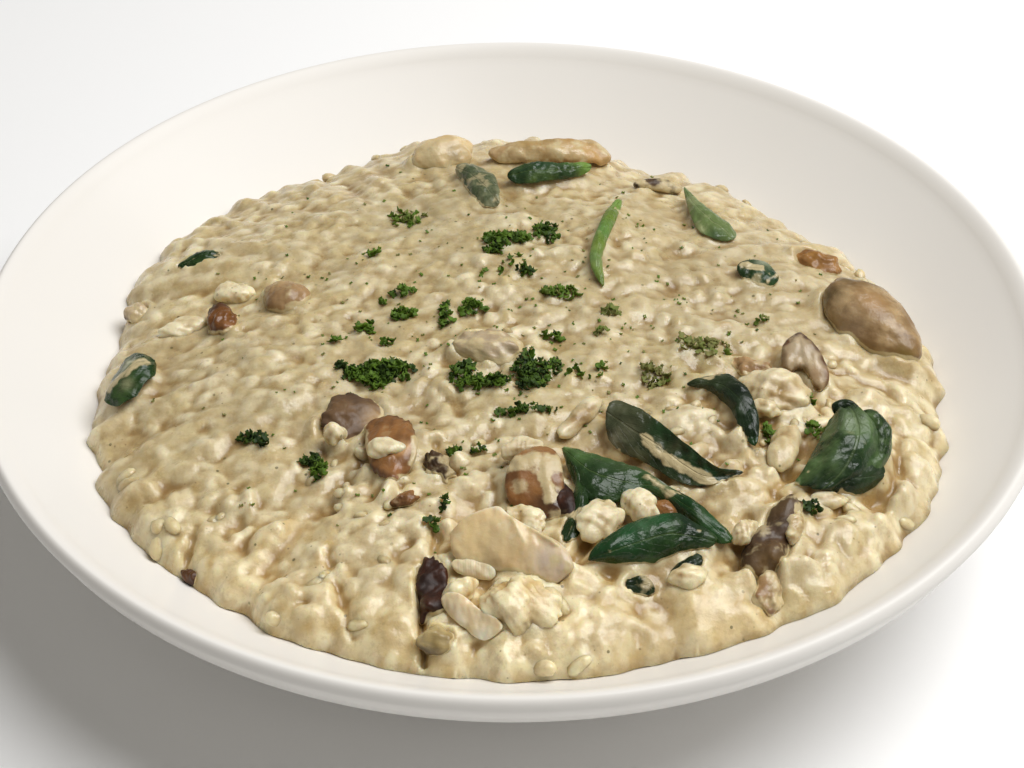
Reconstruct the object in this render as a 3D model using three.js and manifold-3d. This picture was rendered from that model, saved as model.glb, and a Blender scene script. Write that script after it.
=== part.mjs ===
// Mushroom risotto in its round white bowl: a low heap of creamy rice with pieces
// of mushroom, spinach leaves and chopped parsley on it.
// Millimetres, +Z up, the origin under the middle of the bowl on its foot's plane.
// The side that the dish is served from, with the big leaves, faces -Y.

import * as THREE from 'three';
import { mergeVertices } from 'three/addons/utils/BufferGeometryUtils.js';
import Module from 'manifold-3d';

const wasm = await Module();
wasm.setup();

// ---- driving dimensions ----

const clearance = 0.35;         // left between pieces that rest on each other

const rimRadius = 120;          // outside of the lip
const bowlHeight = 41;
const wallThickness = 5.6;
const floorRadius = 46;         // the flat part of the inside
const floorHeight = 7.5;        // inside floor above the table
const wallSweep = 1.7;          // power of the wall's rise, from flat to steep
const footOuterRadius = 46;
const footInnerRadius = 39;
const footHeight = 3;
const footChamfer = 1;
const undersideRadius = 56;     // where the outside wall leaves the flat underside
const bowlSegments = 48;
const wallSteps = 5;
const lipSteps = 4;

const heapMiddle = 27;          // height of the rice's flat base level at the middle
const domeHeight = 9;           // how far the heap stands above that level there
const bankHeight = 3.6;         // the rounded bank where the rice ends on the wall
const bankWidth = 9;
const shoreRadii = [96.5, 92, 89.5, 94, 92.5, 95.5, 94, 98.5, 98.5, 105, 103.5, 105];
const shoreWaves = [
  { waves: 7, size: 0.7, phase: 1.0 },
  { waves: 13, size: 0.5, phase: 2.2 },
];

const grainLength = 7.5;        // a cooked grain of short rice
const grainWidth = 4.4;
const grainHeight = 3.7;
const bumpSpacing = 3.9;        // between the points of the rice's surface
const bumpLow = 0.5;            // least and most that a grain stands out
const bumpHigh = 2.3;
const bumpDip = -0.7;           // the creases between the grains
const bumpTail = 0.8;           // height of a grain's second point, as a share of its first
const bumpDrift = 0.24;         // how far a point strays, as a share of the spacing

const bedSpacing = 9;           // the same for the smooth bed that toppings are fitted to
const bedRise = 0.3;            // the bed's height over the smooth heap
const bedMargin = 2;            // rice round a topping that stays smooth

const looseGrains = 44;
const looseGrainReach = 0.93;   // share of the heap's radius that has them
const flakeLength = 3.4;        // a chopped parsley leaf
const flakeWidth = 2.4;
const flakeHeight = 2;
// How the loose pieces differ: size, tilt in radians, and how high their middle lies.
const grainSpread = { size: 0.15, tilt: 0.45, low: 1.1, high: 2 };
const flakeSpread = { size: 0.25, tilt: 0.4, low: 1.5, high: 2.1 };
const spareRoom = 1.5;          // a loose piece this much bigger must still miss the toppings

// Low swells of the heap: where, how wide and how high.
const swells = [
  { x: -22, y: -66, radius: 17, height: 2.6 },
  { x: 14, y: -74, radius: 16, height: 3.0 },
  { x: 50, y: -58, radius: 17, height: 2.2 },
  { x: 72, y: -30, radius: 15, height: 2.4 },
  { x: 60, y: 6, radius: 20, height: 2.0 },
  { x: 24, y: 28, radius: 24, height: 2.2 },
  { x: -12, y: 4, radius: 26, height: 1.6 },
  { x: -58, y: -20, radius: 20, height: 1.8 },
  { x: -62, y: 34, radius: 18, height: 1.6 },
  { x: -30, y: 62, radius: 15, height: 1.4 },
  { x: 18, y: 70, radius: 18, height: 2.4 },
  { x: -48, y: -56, radius: 16, height: 1.4 },
  { x: 8, y: -30, radius: 18, height: 1.4 },
  { x: 36, y: -22, radius: 16, height: 1.6 },
];

// Toppings. at: place on the heap; lift: middle above the rice; turn: roll about
// its length, pitch (nose down) and yaw, in degrees.
// A cap's size is [length, width, height].
const mushroomCaps = {
  mushroom_right_whole: { at: [82, -3], lift: 3.2, size: [31, 18, 13], turn: [0, 10, -57] },
  mushroom_back_cap: { at: [-18, 71], lift: 1.4, size: [16, 11, 7], turn: [10, 0, 18] },
  mushroom_right_back: { at: [73, 26], lift: 1.4, size: [12, 8, 6], turn: [0, 0, -45] },
  mushroom_centre_cap: { at: [-5, -19], lift: 1.2, size: [16, 10, 6], turn: [0, 0, -6] },
  mushroom_left_cap: { at: [-52, 5], lift: 2, size: [11, 9, 8], turn: [0, 0, -20] },
  mushroom_left_bit: { at: [-66, -1], lift: 1.4, size: [11, 6, 6], turn: [0, 0, -61] },
  mushroom_front_cap: { at: [-34, -40], lift: 1.8, size: [16, 12, 8], turn: [15, 0, 45] },
  mushroom_middle_chunk: { at: [3, -61], lift: 2, size: [17, 10, 8], turn: [20, 0, 56] },
  mushroom_gap_chunk: { at: [-15, -90], lift: 0.8, size: [13, 6.5, 8], turn: [0, 20, -86] },
  mushroom_front_bit: { at: [-14, -101], lift: 0.8, size: [7, 5, 5], turn: [0, 0, 0] },
  mushroom_right_chunk: { at: [51, -77], lift: 1.5, size: [20, 9, 8], turn: [0, 15, -111] },
};

// A sheet's size is [length, width, thickness]. arch and cup: degrees that it
// curves through along and across, with the ends and the edges down;
// sweep: how far its ends lie to one side.
const mushroomSlices = {
  mushroom_back_slice: {
    at: [9, 71], lift: 1.3, size: [30, 10, 3], turn: [26, 0, -2],
    outline: 'slice', arch: 40, cup: 20,
  },
  mushroom_back_sliver: {
    at: [37, 61], lift: 1.4, size: [14, 6, 2], turn: [40, 0, -5],
    outline: 'strip', arch: 30, cup: 10,
  },
  mushroom_right_slice: {
    at: [66, -20], lift: 3.5, size: [19, 9, 3], turn: [-35, 0, -68],
    outline: 'slice', arch: 50, cup: 30,
  },
  mushroom_brown_stem: {
    at: [-25, -53], lift: 2.6, size: [18, 7, 3.5], turn: [25, 8, -72],
    outline: 'strip', arch: 20, cup: 40,
  },
  mushroom_front_slice: {
    at: [-1, -83], lift: 4.4, size: [24, 14, 3], turn: [42, 3, -4],
    outline: 'slice', arch: 26, cup: 18,
  },
  mushroom_pale_strip: {
    at: [-6.5, -90], lift: 2.2, size: [12, 5, 2.4], turn: [35, 10, -30],
    outline: 'strip', arch: 30, cup: 20,
  },
  mushroom_pale_slice: {
    at: [-6, -98], lift: 2.4, size: [14, 6, 2.4], turn: [40, 8, -28],
    outline: 'strip', arch: 30, cup: 24,
  },
};
const spinachLeaves = {
  spinach_left_roll: {
    at: [-85, -20], lift: 3.4, size: [18, 11, 1.1], turn: [-10, 0, 80],
    outline: 'leaf', arch: 60, cup: 150,
  },
  spinach_back_left: {
    at: [-75, 28], lift: 1.5, size: [11, 5, 1.1], turn: [25, 0, 8],
    outline: 'leaf', arch: 40, cup: 40,
  },
  spinach_back_grey: {
    at: [-8, 54], lift: 2, size: [24, 10, 1.1], turn: [20, 0, -66],
    outline: 'leaf', arch: 40, cup: 60,
  },
  spinach_back_dark: {
    at: [11, 58], lift: 2.6, size: [21, 8, 1.1], turn: [50, 0, 20],
    outline: 'leaf', arch: 40, cup: 40,
  },
  spinach_stem: {
    at: [20, 26], lift: 3, size: [42, 6, 1.1], turn: [30, 0, -101],
    outline: 'leaf', arch: 44, cup: 60, sweep: 3,
  },
  spinach_pointed: {
    at: [48, 44], lift: 2.6, size: [32, 10, 1.1], turn: [30, 0, -72],
    outline: 'leaf', arch: 50, cup: 70,
  },
  spinach_small: {
    at: [57, 14], lift: 1.8, size: [13, 9, 1.1], turn: [30, 0, -33],
    outline: 'leaf', arch: 50, cup: 60,
  },
  spinach_big: {
    at: [32, -52], lift: 4.8, size: [37, 15, 1.1], turn: [48, 4, -38],
    outline: 'leaf', arch: 56, cup: 50, rows: 3,
  },
  spinach_arched: {
    at: [45, -39], lift: 5, size: [28, 9, 1.1], turn: [60, 0, -55],
    outline: 'leaf', arch: 80, cup: 30, sweep: -3,
  },
  spinach_fork: {
    at: [25, -68], lift: 5, size: [43, 11, 1.1], turn: [38, 6, -36],
    outline: 'leaf', arch: 50, cup: 60, rows: 3,
  },
  spinach_fork_branch: {
    at: [13, -73], lift: 3, size: [18, 7, 1.1], turn: [0, 8, -80],
    outline: 'leaf', arch: 50, cup: 60,
  },
  spinach_low: {
    at: [26, -83], lift: 4.6, size: [21, 10, 1.1], turn: [52, -6, 5],
    outline: 'leaf', arch: 50, cup: 70, rows: 3,
  },
  spinach_under: {
    at: [34, -86], lift: 1.4, size: [8, 5, 1.1], turn: [40, 0, 45],
    outline: 'leaf', arch: 40, cup: 40,
  },
  spinach_right_fold: {
    at: [71, -50], lift: 6, size: [33, 18, 1.1], turn: [18, 0, 52],
    outline: 'leaf', arch: 90, cup: 120, rows: 3,
  },
};
const sheetColumns = 7;
const sheetRows = 2;
const rippleHeight = 0.6;       // waves along a leaf's edges
const rippleCount = 2;
const capRounds = 5;            // rings of faces from a cap's top to its foot
const capFaceLength = 3;        // about the length of a face round a cap
const capLeastSides = 7;
const capBulge = 0.25;          // how much wider its one end is
const capTop = 1.2;             // its top and its foot, as shares of half its height
const capFoot = 0.8;

// Where the parsley lies: middle of each sprinkle, its half sizes, and its flakes.
const sprinkles = [
  { x: -29, y: -25, halfX: 8, halfY: 3, flakes: 9 },
  { x: 0, y: -33, halfX: 13, halfY: 6, flakes: 13 },
  { x: 3, y: 22, halfX: 10, halfY: 5, flakes: 7 },
  { x: -25, y: 36, halfX: 5, halfY: 4, flakes: 3 },
  { x: 12, y: -2, halfX: 4, halfY: 2, flakes: 2 },
  { x: -11, y: -8, halfX: 6, halfY: 3, flakes: 4 },
  { x: -25, y: -3, halfX: 3, halfY: 4, flakes: 3 },
  { x: -54, y: -47, halfX: 4, halfY: 2, flakes: 3 },
  { x: -41, y: -53, halfX: 4, halfY: 3, flakes: 3 },
  { x: -32, y: 2, halfX: 4, halfY: 3, flakes: 2 },
];

// ---- small helpers ----

const innerRimRadius = rimRadius - wallThickness;
const lipHeight = bowlHeight - wallThickness / 2;
const upright = Math.PI / 2;
const toppings = [mushroomCaps, mushroomSlices, spinachLeaves].flatMap(Object.values);

// Seeded draws from 0 to 1, the same in every build.
function seededDraws(seed) {
  let state = seed;
  return () => {
    state = (state + 0x6d2b79f5) | 0;
    let mixed = Math.imul(state ^ (state >>> 15), 1 | state);
    mixed = (mixed + Math.imul(mixed ^ (mixed >>> 7), 61 | mixed)) ^ mixed;
    return ((mixed ^ (mixed >>> 14)) >>> 0) / 4294967296;
  };
}

// A draw from 0 to 1 that belongs to one point of the rice's surface.
function pointDraw(column, row, channel) {
  const value = Math.sin(column * 127.1 + row * 311.7 + channel * 74.7) * 43758.5453;
  return value - Math.floor(value);
}

function toSolid(geometry) {
  const bare = geometry.index ? geometry.clone() : geometry;
  bare.deleteAttribute('normal');
  bare.deleteAttribute('uv');
  const merged = mergeVertices(bare, 1e-4);
  return new wasm.Manifold(new wasm.Mesh({
    numProp: 3,
    vertProperties: new Float32Array(merged.attributes.position.array),
    triVerts: new Uint32Array(merged.index.array),
  }));
}

function toGeometry(solid) {
  const mesh = solid.getMesh();
  const geometry = new THREE.BufferGeometry();
  geometry.setAttribute('position', new THREE.BufferAttribute(mesh.vertProperties, 3));
  geometry.setIndex(new THREE.BufferAttribute(mesh.triVerts, 1));
  geometry.computeVertexNormals();
  return geometry;
}

// The biggest single body of a solid, without the scraps of a cut.
function mainBody(solid) {
  const bodies = solid.decompose();
  return bodies.reduce((best, body) => (body.volume() > best.volume() ? body : best));
}

// ---- the bowl ----

function wallHeight(radius) {
  const along = Math.max(0, (radius - floorRadius) / (innerRimRadius - floorRadius));
  return floorHeight + (lipHeight - floorHeight) * along ** wallSweep;
}

function wallSlope(radius) {
  const reach = innerRimRadius - floorRadius;
  const along = Math.max(0, (radius - floorRadius) / reach);
  return (lipHeight - floorHeight) * wallSweep * along ** (wallSweep - 1) / reach;
}

// Points of the inside surface from radius `from` to the rim, moved out into the
// wall by `offset` along the surface's normal.
function wallPoints(from, offset) {
  const points = [];
  for (let step = 0; step <= wallSteps; step += 1) {
    const radius = from + (innerRimRadius - from) * step / wallSteps;
    const slope = wallSlope(radius);
    const shift = offset / Math.hypot(slope, 1);
    points.push(new THREE.Vector2(radius + slope * shift, wallHeight(radius) - shift));
  }
  return points;
}

function lathe(points) {
  return new THREE.LatheGeometry(points, bowlSegments).rotateX(upright);
}

function bowlSolid() {
  const lip = [];
  for (let step = 1; step < lipSteps; step += 1) {
    const angle = Math.PI * step / lipSteps;
    lip.push(new THREE.Vector2(
      rimRadius - wallThickness / 2 + Math.cos(angle) * wallThickness / 2,
      lipHeight + Math.sin(angle) * wallThickness / 2,
    ));
  }
  const profile = [
    new THREE.Vector2(0, footHeight),
    new THREE.Vector2(footInnerRadius, footHeight),
    new THREE.Vector2(footInnerRadius + footChamfer, 0),
    new THREE.Vector2(footOuterRadius - footChamfer, 0),
    new THREE.Vector2(footOuterRadius, footHeight),
    ...wallPoints(undersideRadius, wallThickness).slice(0, -1),
    new THREE.Vector2(rimRadius, lipHeight),
    ...lip,
    ...wallPoints(floorRadius, 0).reverse(),
    new THREE.Vector2(0, floorHeight),
  ];
  return toSolid(lathe(profile));
}

// The room inside the bowl that the rice may fill, clear of the wall.
function hollowSolid() {
  const inside = wallPoints(floorRadius, -clearance);
  const top = bowlHeight * 2;
  const profile = [
    new THREE.Vector2(0, floorHeight + clearance),
    ...inside,
    new THREE.Vector2(inside[inside.length - 1].x, top),
    new THREE.Vector2(0, top),
  ];
  return toSolid(lathe(profile));
}

// ---- the rice ----

// Radius where the rice meets the wall, in a direction: a smooth curve through
// shoreRadii, with small waves.
function shoreRadius(angle) {
  const count = shoreRadii.length;
  const turns = ((angle / (2 * Math.PI)) % 1 + 1) % 1 * count;
  const index = Math.floor(turns);
  const part = turns - index;
  const [before, here, next, after] = [-1, 0, 1, 2].map(
    (step) => shoreRadii[(index + step + count) % count]);
  const curve = 0.5 * (2 * here + (next - before) * part
    + (2 * before - 5 * here + 4 * next - after) * part ** 2
    + (3 * here - before - 3 * next + after) * part ** 3);
  return shoreWaves.reduce(
    (sum, wave) => sum + wave.size * Math.sin(wave.waves * angle + wave.phase), curve);
}

// Height of the heap without its grains.
function heapHeight(x, y) {
  const radius = Math.hypot(x, y);
  const shore = shoreRadius(Math.atan2(y, x));
  const shoreHeight = wallHeight(shore);
  if (radius > shore) {
    return shoreHeight - (radius - shore);
  }
  const out = radius / shore;
  const inland = Math.min(1, (shore - radius) / bankWidth);
  let height = heapMiddle + (shoreHeight - heapMiddle) * out ** 2;
  height += bankHeight * Math.sqrt(1 - (1 - inland) ** 2);
  height += domeHeight * (1 - out ** 2);
  for (const swell of swells) {
    const away = (x - swell.x) ** 2 + (y - swell.y) ** 2;
    height += swell.height * inland * Math.exp(-away / swell.radius ** 2);
  }
  return height;
}

// One point in three of the surface's triangles is the top of a grain, and each
// grain also lifts one of the six points round it, which makes it longer than wide.
const ringOfPoints = [[1, 0], [0, 1], [-1, 0], [0, -1], [1, 1], [-1, -1]];
const isGrainTop = (column, row) => (((column + row) % 3) + 3) % 3 === 0;

function bumpHeight(column, row) {
  const rise = (at, line) => bumpLow + (bumpHigh - bumpLow) * pointDraw(at, line, 1);
  if (isGrainTop(column, row)) {
    return rise(column, row);
  }
  let height = bumpDip;
  ringOfPoints.forEach(([stepColumn, stepRow], side) => {
    const grainColumn = column - stepColumn;
    const grainRow = row - stepRow;
    const picked = Math.floor(pointDraw(grainColumn, grainRow, 2) * ringOfPoints.length);
    if (isGrainTop(grainColumn, grainRow) && picked === side) {
      height = Math.max(height, rise(grainColumn, grainRow) * bumpTail);
    }
  });
  return height;
}

// A block whose top face is a lattice of equilateral triangles. place gives the
// top's point for a column and a row.
function latticeBlock(spacing, place) {
  const rowSpacing = spacing * Math.sqrt(3) / 2;
  const reach = Math.max(...shoreRadii) + bankWidth;
  const rows = 2 * Math.ceil(reach / rowSpacing);
  const columns = 2 * Math.ceil((reach + reach / Math.sqrt(3)) / spacing);
  const block = new THREE.BoxGeometry(
    columns * spacing, rows * rowSpacing, 1, columns, rows, 1);
  const position = block.attributes.position;
  for (let index = 0; index < position.count; index += 1) {
    const column = Math.round(position.getX(index) / spacing);
    const row = Math.round(position.getY(index) / rowSpacing);
    const [x, y, z] = place(column, row, (column - row / 2) * spacing, row * rowSpacing);
    const isTop = position.getZ(index) > 0;
    position.setXYZ(index, x, y, isTop ? Math.max(z, 1) : 0);
  }
  return toSolid(block);
}

// Whether a place on the heap lies under a topping or close to it.
function isUnderTopping(x, y) {
  return toppings.some(({ at, size, turn, sweep = 0 }) => {
    const offset = new THREE.Vector2(x - at[0], y - at[1]);
    offset.rotateAround(new THREE.Vector2(), -THREE.MathUtils.degToRad(turn[2]));
    return Math.abs(offset.x) < size[0] / 2 + bedMargin
      && Math.abs(offset.y) < size[1] / 2 + Math.abs(sweep) + bedMargin;
  });
}

// The heap, with a bump for every grain except under the toppings.
function heapSolid() {
  const block = latticeBlock(bumpSpacing, (column, row, evenX, evenY) => {
    const drift = (channel) => bumpSpacing * bumpDrift * (2 * pointDraw(column, row, channel) - 1);
    const x = evenX + drift(3);
    const y = evenY + drift(4);
    const bump = isUnderTopping(x, y) ? bumpDip : bumpHeight(column, row);
    return [x, y, heapHeight(x, y) + bump];
  });
  return mainBody(block.intersect(hollowSolid()));
}

// The smooth bed that the toppings are cut off at, just above the heap under them.
function bedSolid() {
  return latticeBlock(bedSpacing, (column, row, x, y) => [x, y, heapHeight(x, y) + bedRise]);
}

// A loose piece of the heap at a place on it, turned and sized by the draws.
function scattered(geometry, x, y, spread, draw) {
  const stretch = 1 + spread.size * (2 * draw() - 1);
  geometry.scale(stretch, stretch, stretch);
  geometry.rotateX(spread.tilt * (2 * draw() - 1));
  geometry.rotateZ(Math.PI * draw());
  const lift = spread.low + (spread.high - spread.low) * draw();
  geometry.translate(x, y, heapHeight(x, y) + lift);
  return toSolid(geometry);
}

function grainSolid(x, y, draw) {
  const grain = new THREE.SphereGeometry(0.5, 6, 3);
  grain.scale(grainWidth, grainLength, grainHeight);
  return scattered(grain, x, y, grainSpread, draw);
}

function flakeSolid(x, y, draw) {
  const flake = new THREE.OctahedronGeometry(0.5);
  flake.scale(flakeLength, flakeWidth, flakeHeight);
  return scattered(flake, x, y, flakeSpread, draw);
}

// The heap with its loose grains and parsley flakes, all of them clear of the
// toppings: a piece that comes too near one is skipped.
function riceSolid(heap, pieces) {
  const draw = seededDraws(20);
  const taken = wasm.Manifold.union(pieces);
  const added = [];
  const addIfClear = (piece) => {
    const box = piece.boundingBox();
    const middle = box.min.map((low, axis) => (low + box.max[axis]) / 2);
    const centred = piece.translate(middle.map((value) => -value));
    if (centred.scale(spareRoom).translate(middle).intersect(taken).isEmpty()) {
      added.push(piece);
    }
  };
  for (const sprinkle of sprinkles) {
    for (let count = 0; count < sprinkle.flakes; count += 1) {
      const angle = draw() * 2 * Math.PI;
      const out = Math.sqrt(draw());
      const x = sprinkle.x + sprinkle.halfX * out * Math.cos(angle);
      const y = sprinkle.y + sprinkle.halfY * out * Math.sin(angle);
      addIfClear(flakeSolid(x, y, draw));
    }
  }
  for (let count = 0; count < looseGrains; count += 1) {
    const angle = draw() * 2 * Math.PI;
    const radius = shoreRadius(angle) * looseGrainReach * Math.sqrt(draw());
    addIfClear(grainSolid(radius * Math.cos(angle), radius * Math.sin(angle), draw));
  }
  return mainBody(wasm.Manifold.union([heap, ...added]).intersect(hollowSolid()));
}

// ---- toppings ----

// Half width of a sheet along its length, from 0 at its foot to 1 at its tip.
const outlines = {
  leaf: (along) => 0.08 + 0.92 * Math.sin(Math.PI * along ** 0.85) ** 0.8,
  strip: (along) => 0.3 + 0.7 * Math.sin(Math.PI * along) ** 0.6,
  slice: (along) => (along < 0.3 ? 0.45 : 0.35 + 0.65 * Math.sin(Math.PI * (along - 0.15) / 0.9)),
};

// A point of a curved sheet. along goes from 0 to 1 and across from -1 to 1;
// above is the height over the sheet's middle surface.
function sheetPoint(topping, along, across, above) {
  const [length, width] = topping.size;
  const half = outlines[topping.outline](along) * width / 2;
  const cupRadius = width / THREE.MathUtils.degToRad(topping.cup);
  const cupAngle = across * half / cupRadius;
  const y = (cupRadius + above) * Math.sin(cupAngle);
  const wave = Math.sin(2 * Math.PI * rippleCount * along + across) * across ** 2;
  const ripple = topping.outline === 'leaf' ? rippleHeight * wave : 0;
  const rise = (cupRadius + above) * Math.cos(cupAngle) - cupRadius + ripple;
  const archRadius = length / THREE.MathUtils.degToRad(topping.arch);
  const archAngle = (along - 0.5) * length / archRadius;
  const sweep = (topping.sweep || 0) * (2 * along - 1) ** 2;
  return new THREE.Vector3(
    (archRadius + rise) * Math.sin(archAngle),
    y + sweep,
    (archRadius + rise) * Math.cos(archAngle) - archRadius,
  );
}

// A thin curved sheet: a plane's grid for each face, with the same triangles, and
// a rim between them.
function sheetGeometry(topping) {
  const columns = sheetColumns;
  const rows = topping.rows || sheetRows;
  const plane = new THREE.PlaneGeometry(1, 1, columns, rows);
  const count = plane.attributes.position.count;
  const thickness = topping.size[2];
  const points = [];
  for (const above of [thickness / 2, -thickness / 2]) {
    for (let index = 0; index < count; index += 1) {
      const along = plane.attributes.position.getX(index) + 0.5;
      const across = plane.attributes.position.getY(index) * 2;
      points.push(sheetPoint(topping, along, across, above));
    }
  }
  const faces = [];
  const planeFaces = plane.index.array;
  for (let index = 0; index < planeFaces.length; index += 3) {
    const [a, b, c] = planeFaces.slice(index, index + 3);
    faces.push(a, b, c, a + count, c + count, b + count);
  }
  const rim = [];
  for (let column = 0; column < columns; column += 1) {
    rim.push(column);
  }
  for (let row = 0; row < rows; row += 1) {
    rim.push(columns + row * (columns + 1));
  }
  for (let column = columns; column > 0; column -= 1) {
    rim.push(rows * (columns + 1) + column);
  }
  for (let row = rows; row > 0; row -= 1) {
    rim.push(row * (columns + 1));
  }
  rim.forEach((here, index) => {
    const next = rim[(index + 1) % rim.length];
    faces.push(here, next, next + count, here, next + count, here + count);
  });
  const sheet = new THREE.BufferGeometry().setFromPoints(points);
  sheet.setIndex(faces);
  return sheet;
}

// A mushroom cap or chunk: a rounded body, flatter below.
function capGeometry(topping) {
  const [length, width, height] = topping.size;
  const sides = Math.max(capLeastSides, Math.round(length / capFaceLength));
  const cap = new THREE.SphereGeometry(0.5, sides, capRounds).rotateX(upright);
  const position = cap.attributes.position;
  for (let index = 0; index < position.count; index += 1) {
    const x = position.getX(index);
    const z = position.getZ(index);
    const y = position.getY(index) * (1 + capBulge * x);
    position.setXYZ(index, x * length, y * width, z * height * (z > 0 ? capTop : capFoot));
  }
  return cap;
}

function placed(geometry, topping) {
  const [x, y] = topping.at;
  const [roll, pitch, yaw] = topping.turn.map(THREE.MathUtils.degToRad);
  geometry.applyMatrix4(new THREE.Matrix4().makeRotationFromEuler(
    new THREE.Euler(roll, pitch, yaw, 'ZYX')));
  geometry.translate(x, y, heapHeight(x, y) + topping.lift);
  return toSolid(geometry);
}

// ---- the dish ----

const ceramic = new THREE.MeshStandardMaterial({ color: 0xf4f3f0, roughness: 0.18, metalness: 0 });
const creamyRice = new THREE.MeshStandardMaterial({ color: 0xd9c9a2, roughness: 0.4, metalness: 0 });
const brownSkin = new THREE.MeshStandardMaterial({ color: 0x8a6b4c, roughness: 0.4, metalness: 0 });
const paleFlesh = new THREE.MeshStandardMaterial({ color: 0xc9ae86, roughness: 0.5, metalness: 0 });
const spinach = new THREE.MeshStandardMaterial({ color: 0x23401f, roughness: 0.35, metalness: 0 });

const dish = new THREE.Group();

function addPiece(name, solid, material) {
  const mesh = new THREE.Mesh(toGeometry(solid), material);
  mesh.name = name;
  dish.add(mesh);
}

const heap = heapSolid();
const bed = bedSolid();
const trim = (geometry, topping) => mainBody(placed(geometry, topping).subtract(bed));
const caps = Object.entries(mushroomCaps).map(
  ([name, topping]) => [name, trim(capGeometry(topping), topping), brownSkin]);
const slices = Object.entries(mushroomSlices).map(
  ([name, topping]) => [name, trim(sheetGeometry(topping), topping), paleFlesh]);
const leaves = Object.entries(spinachLeaves).map(
  ([name, topping]) => [name, trim(sheetGeometry(topping), topping), spinach]);
const pieces = [...caps, ...slices, ...leaves];

addPiece('bowl', bowlSolid(), ceramic);
addPiece('risotto', riceSolid(heap, pieces.map((piece) => piece[1])), creamyRice);
pieces.forEach((piece) => addPiece(...piece));

export default dish;
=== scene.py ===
import itertools
import math

import bmesh
import bpy
import numpy as np
from mathutils import Euler, Matrix


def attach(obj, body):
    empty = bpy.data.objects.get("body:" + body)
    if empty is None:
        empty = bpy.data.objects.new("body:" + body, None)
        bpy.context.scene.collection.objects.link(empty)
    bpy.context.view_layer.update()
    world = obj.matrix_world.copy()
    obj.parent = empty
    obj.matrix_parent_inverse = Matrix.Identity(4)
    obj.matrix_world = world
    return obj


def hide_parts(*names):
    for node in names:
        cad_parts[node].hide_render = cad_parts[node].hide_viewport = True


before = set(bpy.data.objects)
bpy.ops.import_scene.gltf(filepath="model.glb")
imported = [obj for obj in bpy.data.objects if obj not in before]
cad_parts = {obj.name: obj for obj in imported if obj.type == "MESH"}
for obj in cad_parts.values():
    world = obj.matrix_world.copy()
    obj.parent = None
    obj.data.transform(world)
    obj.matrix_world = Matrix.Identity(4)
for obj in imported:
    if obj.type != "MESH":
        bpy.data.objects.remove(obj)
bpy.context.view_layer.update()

# Lengths in the dictionaries are millimetres; placePiece scales each mesh to metres.
# +Z is up and the side with the big leaves faces -Y, as in the frame.
mm = 0.001
print("frame loaded with", len(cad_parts), "nodes")


# helpers for materials

def paint(red, green, blue):  # an 8-bit sRGB colour as Blender's linear one
    shares = [channel / 255 for channel in (red, green, blue)]
    return [s / 12.92 if s < 0.04045 else ((s + 0.055) / 1.055) ** 2.4 for s in shares] + [1]


def newMaterial(name):
    material = bpy.data.materials.new(name)
    material.use_nodes = True
    return material


def addNode(material, kind, inputs=None, **settings):
    node = material.node_tree.nodes.new(kind)
    for setting, value in settings.items():
        setattr(node, setting, value)
    for socket, value in (inputs or {}).items():
        if isinstance(value, bpy.types.NodeSocket):
            material.node_tree.links.new(value, node.inputs[socket])
        else:
            node.inputs[socket].default_value = value
    return node


def setShader(material, inputs):
    shader = material.node_tree.nodes["Principled BSDF"]
    for socket, value in inputs.items():
        if isinstance(value, bpy.types.NodeSocket):
            material.node_tree.links.new(value, shader.inputs[socket])
        else:
            shader.inputs[socket].default_value = value


def calc(material, operation, first, second=0.0, third=0.0):
    inputs = {0: first, 1: second, 2: third}
    return addNode(material, "ShaderNodeMath", inputs, operation=operation).outputs[0]


def times(material, first, second):
    return calc(material, "MULTIPLY", first, second)


def mixed(material, share, first, second, blend="MIX"):
    inputs = {0: share, 6: first, 7: second}
    node = addNode(material, "ShaderNodeMix", inputs, data_type="RGBA", blend_type=blend)
    return node.outputs[2]


def between(material, value, low, high, toLow=0.0, toHigh=1.0):  # a smooth step of a value
    inputs = {"Value": value, "From Min": low, "From Max": high, "To Min": toLow, "To Max": toHigh}
    node = addNode(material, "ShaderNodeMapRange", inputs, interpolation_type="SMOOTHSTEP")
    return node.outputs["Result"]


def grown(material, size, detail=2.0, roughness=0.5):  # noise with blobs of this many millimetres
    place = addNode(material, "ShaderNodeTexCoord").outputs["Object"]
    inputs = {"Vector": place, "Scale": 1 / (size * mm), "Detail": detail, "Roughness": roughness}
    return addNode(material, "ShaderNodeTexNoise", inputs).outputs["Fac"]


def blotchy(material, blobs, *span):  # a smooth step of noise; blobs: their size, detail, roughness
    return between(material, grown(material, *blobs), *span)


def speckled(material, spacing, radius, edge=0.03):  # round specks, one for each cell of that size
    place = addNode(material, "ShaderNodeTexCoord").outputs["Object"]
    cells = addNode(material, "ShaderNodeTexVoronoi", {"Vector": place, "Scale": 1 / (spacing * mm)})
    return between(material, cells.outputs["Distance"], radius / spacing, radius / spacing - edge)


def attribute(material, name):
    return addNode(material, "ShaderNodeAttribute", attribute_name=name).outputs["Fac"]


def bumped(material, layers):  # layers: (height socket, millimetres of relief)
    normal = None
    for height, relief in layers:
        inputs = {"Height": height, "Distance": relief * mm, "Strength": 1.0}
        if normal:
            inputs["Normal"] = normal
        normal = addNode(material, "ShaderNodeBump", inputs).outputs["Normal"]
    return normal


def grownRelief(material, layers):  # layers: (blobs' size, detail, millimetres of relief)
    return [(grown(material, size, detail), relief) for size, detail, relief in layers]


# helpers for shapes

def softSpot(x, y, centreX, centreY, radius):  # 1 at its centre, fading outwards
    return np.exp(-((x - centreX) ** 2 + (y - centreY) ** 2) / radius ** 2)


def smoothCurve(before, here, after, last, part):  # runs through here and after, part is 0 to 1
    return 0.5 * (2 * here + (after - before) * part
                  + (2 * before - 5 * here + 4 * after - last) * part ** 2
                  + (3 * here - before - 3 * after + last) * part ** 3)


# helpers for meshes

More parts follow.
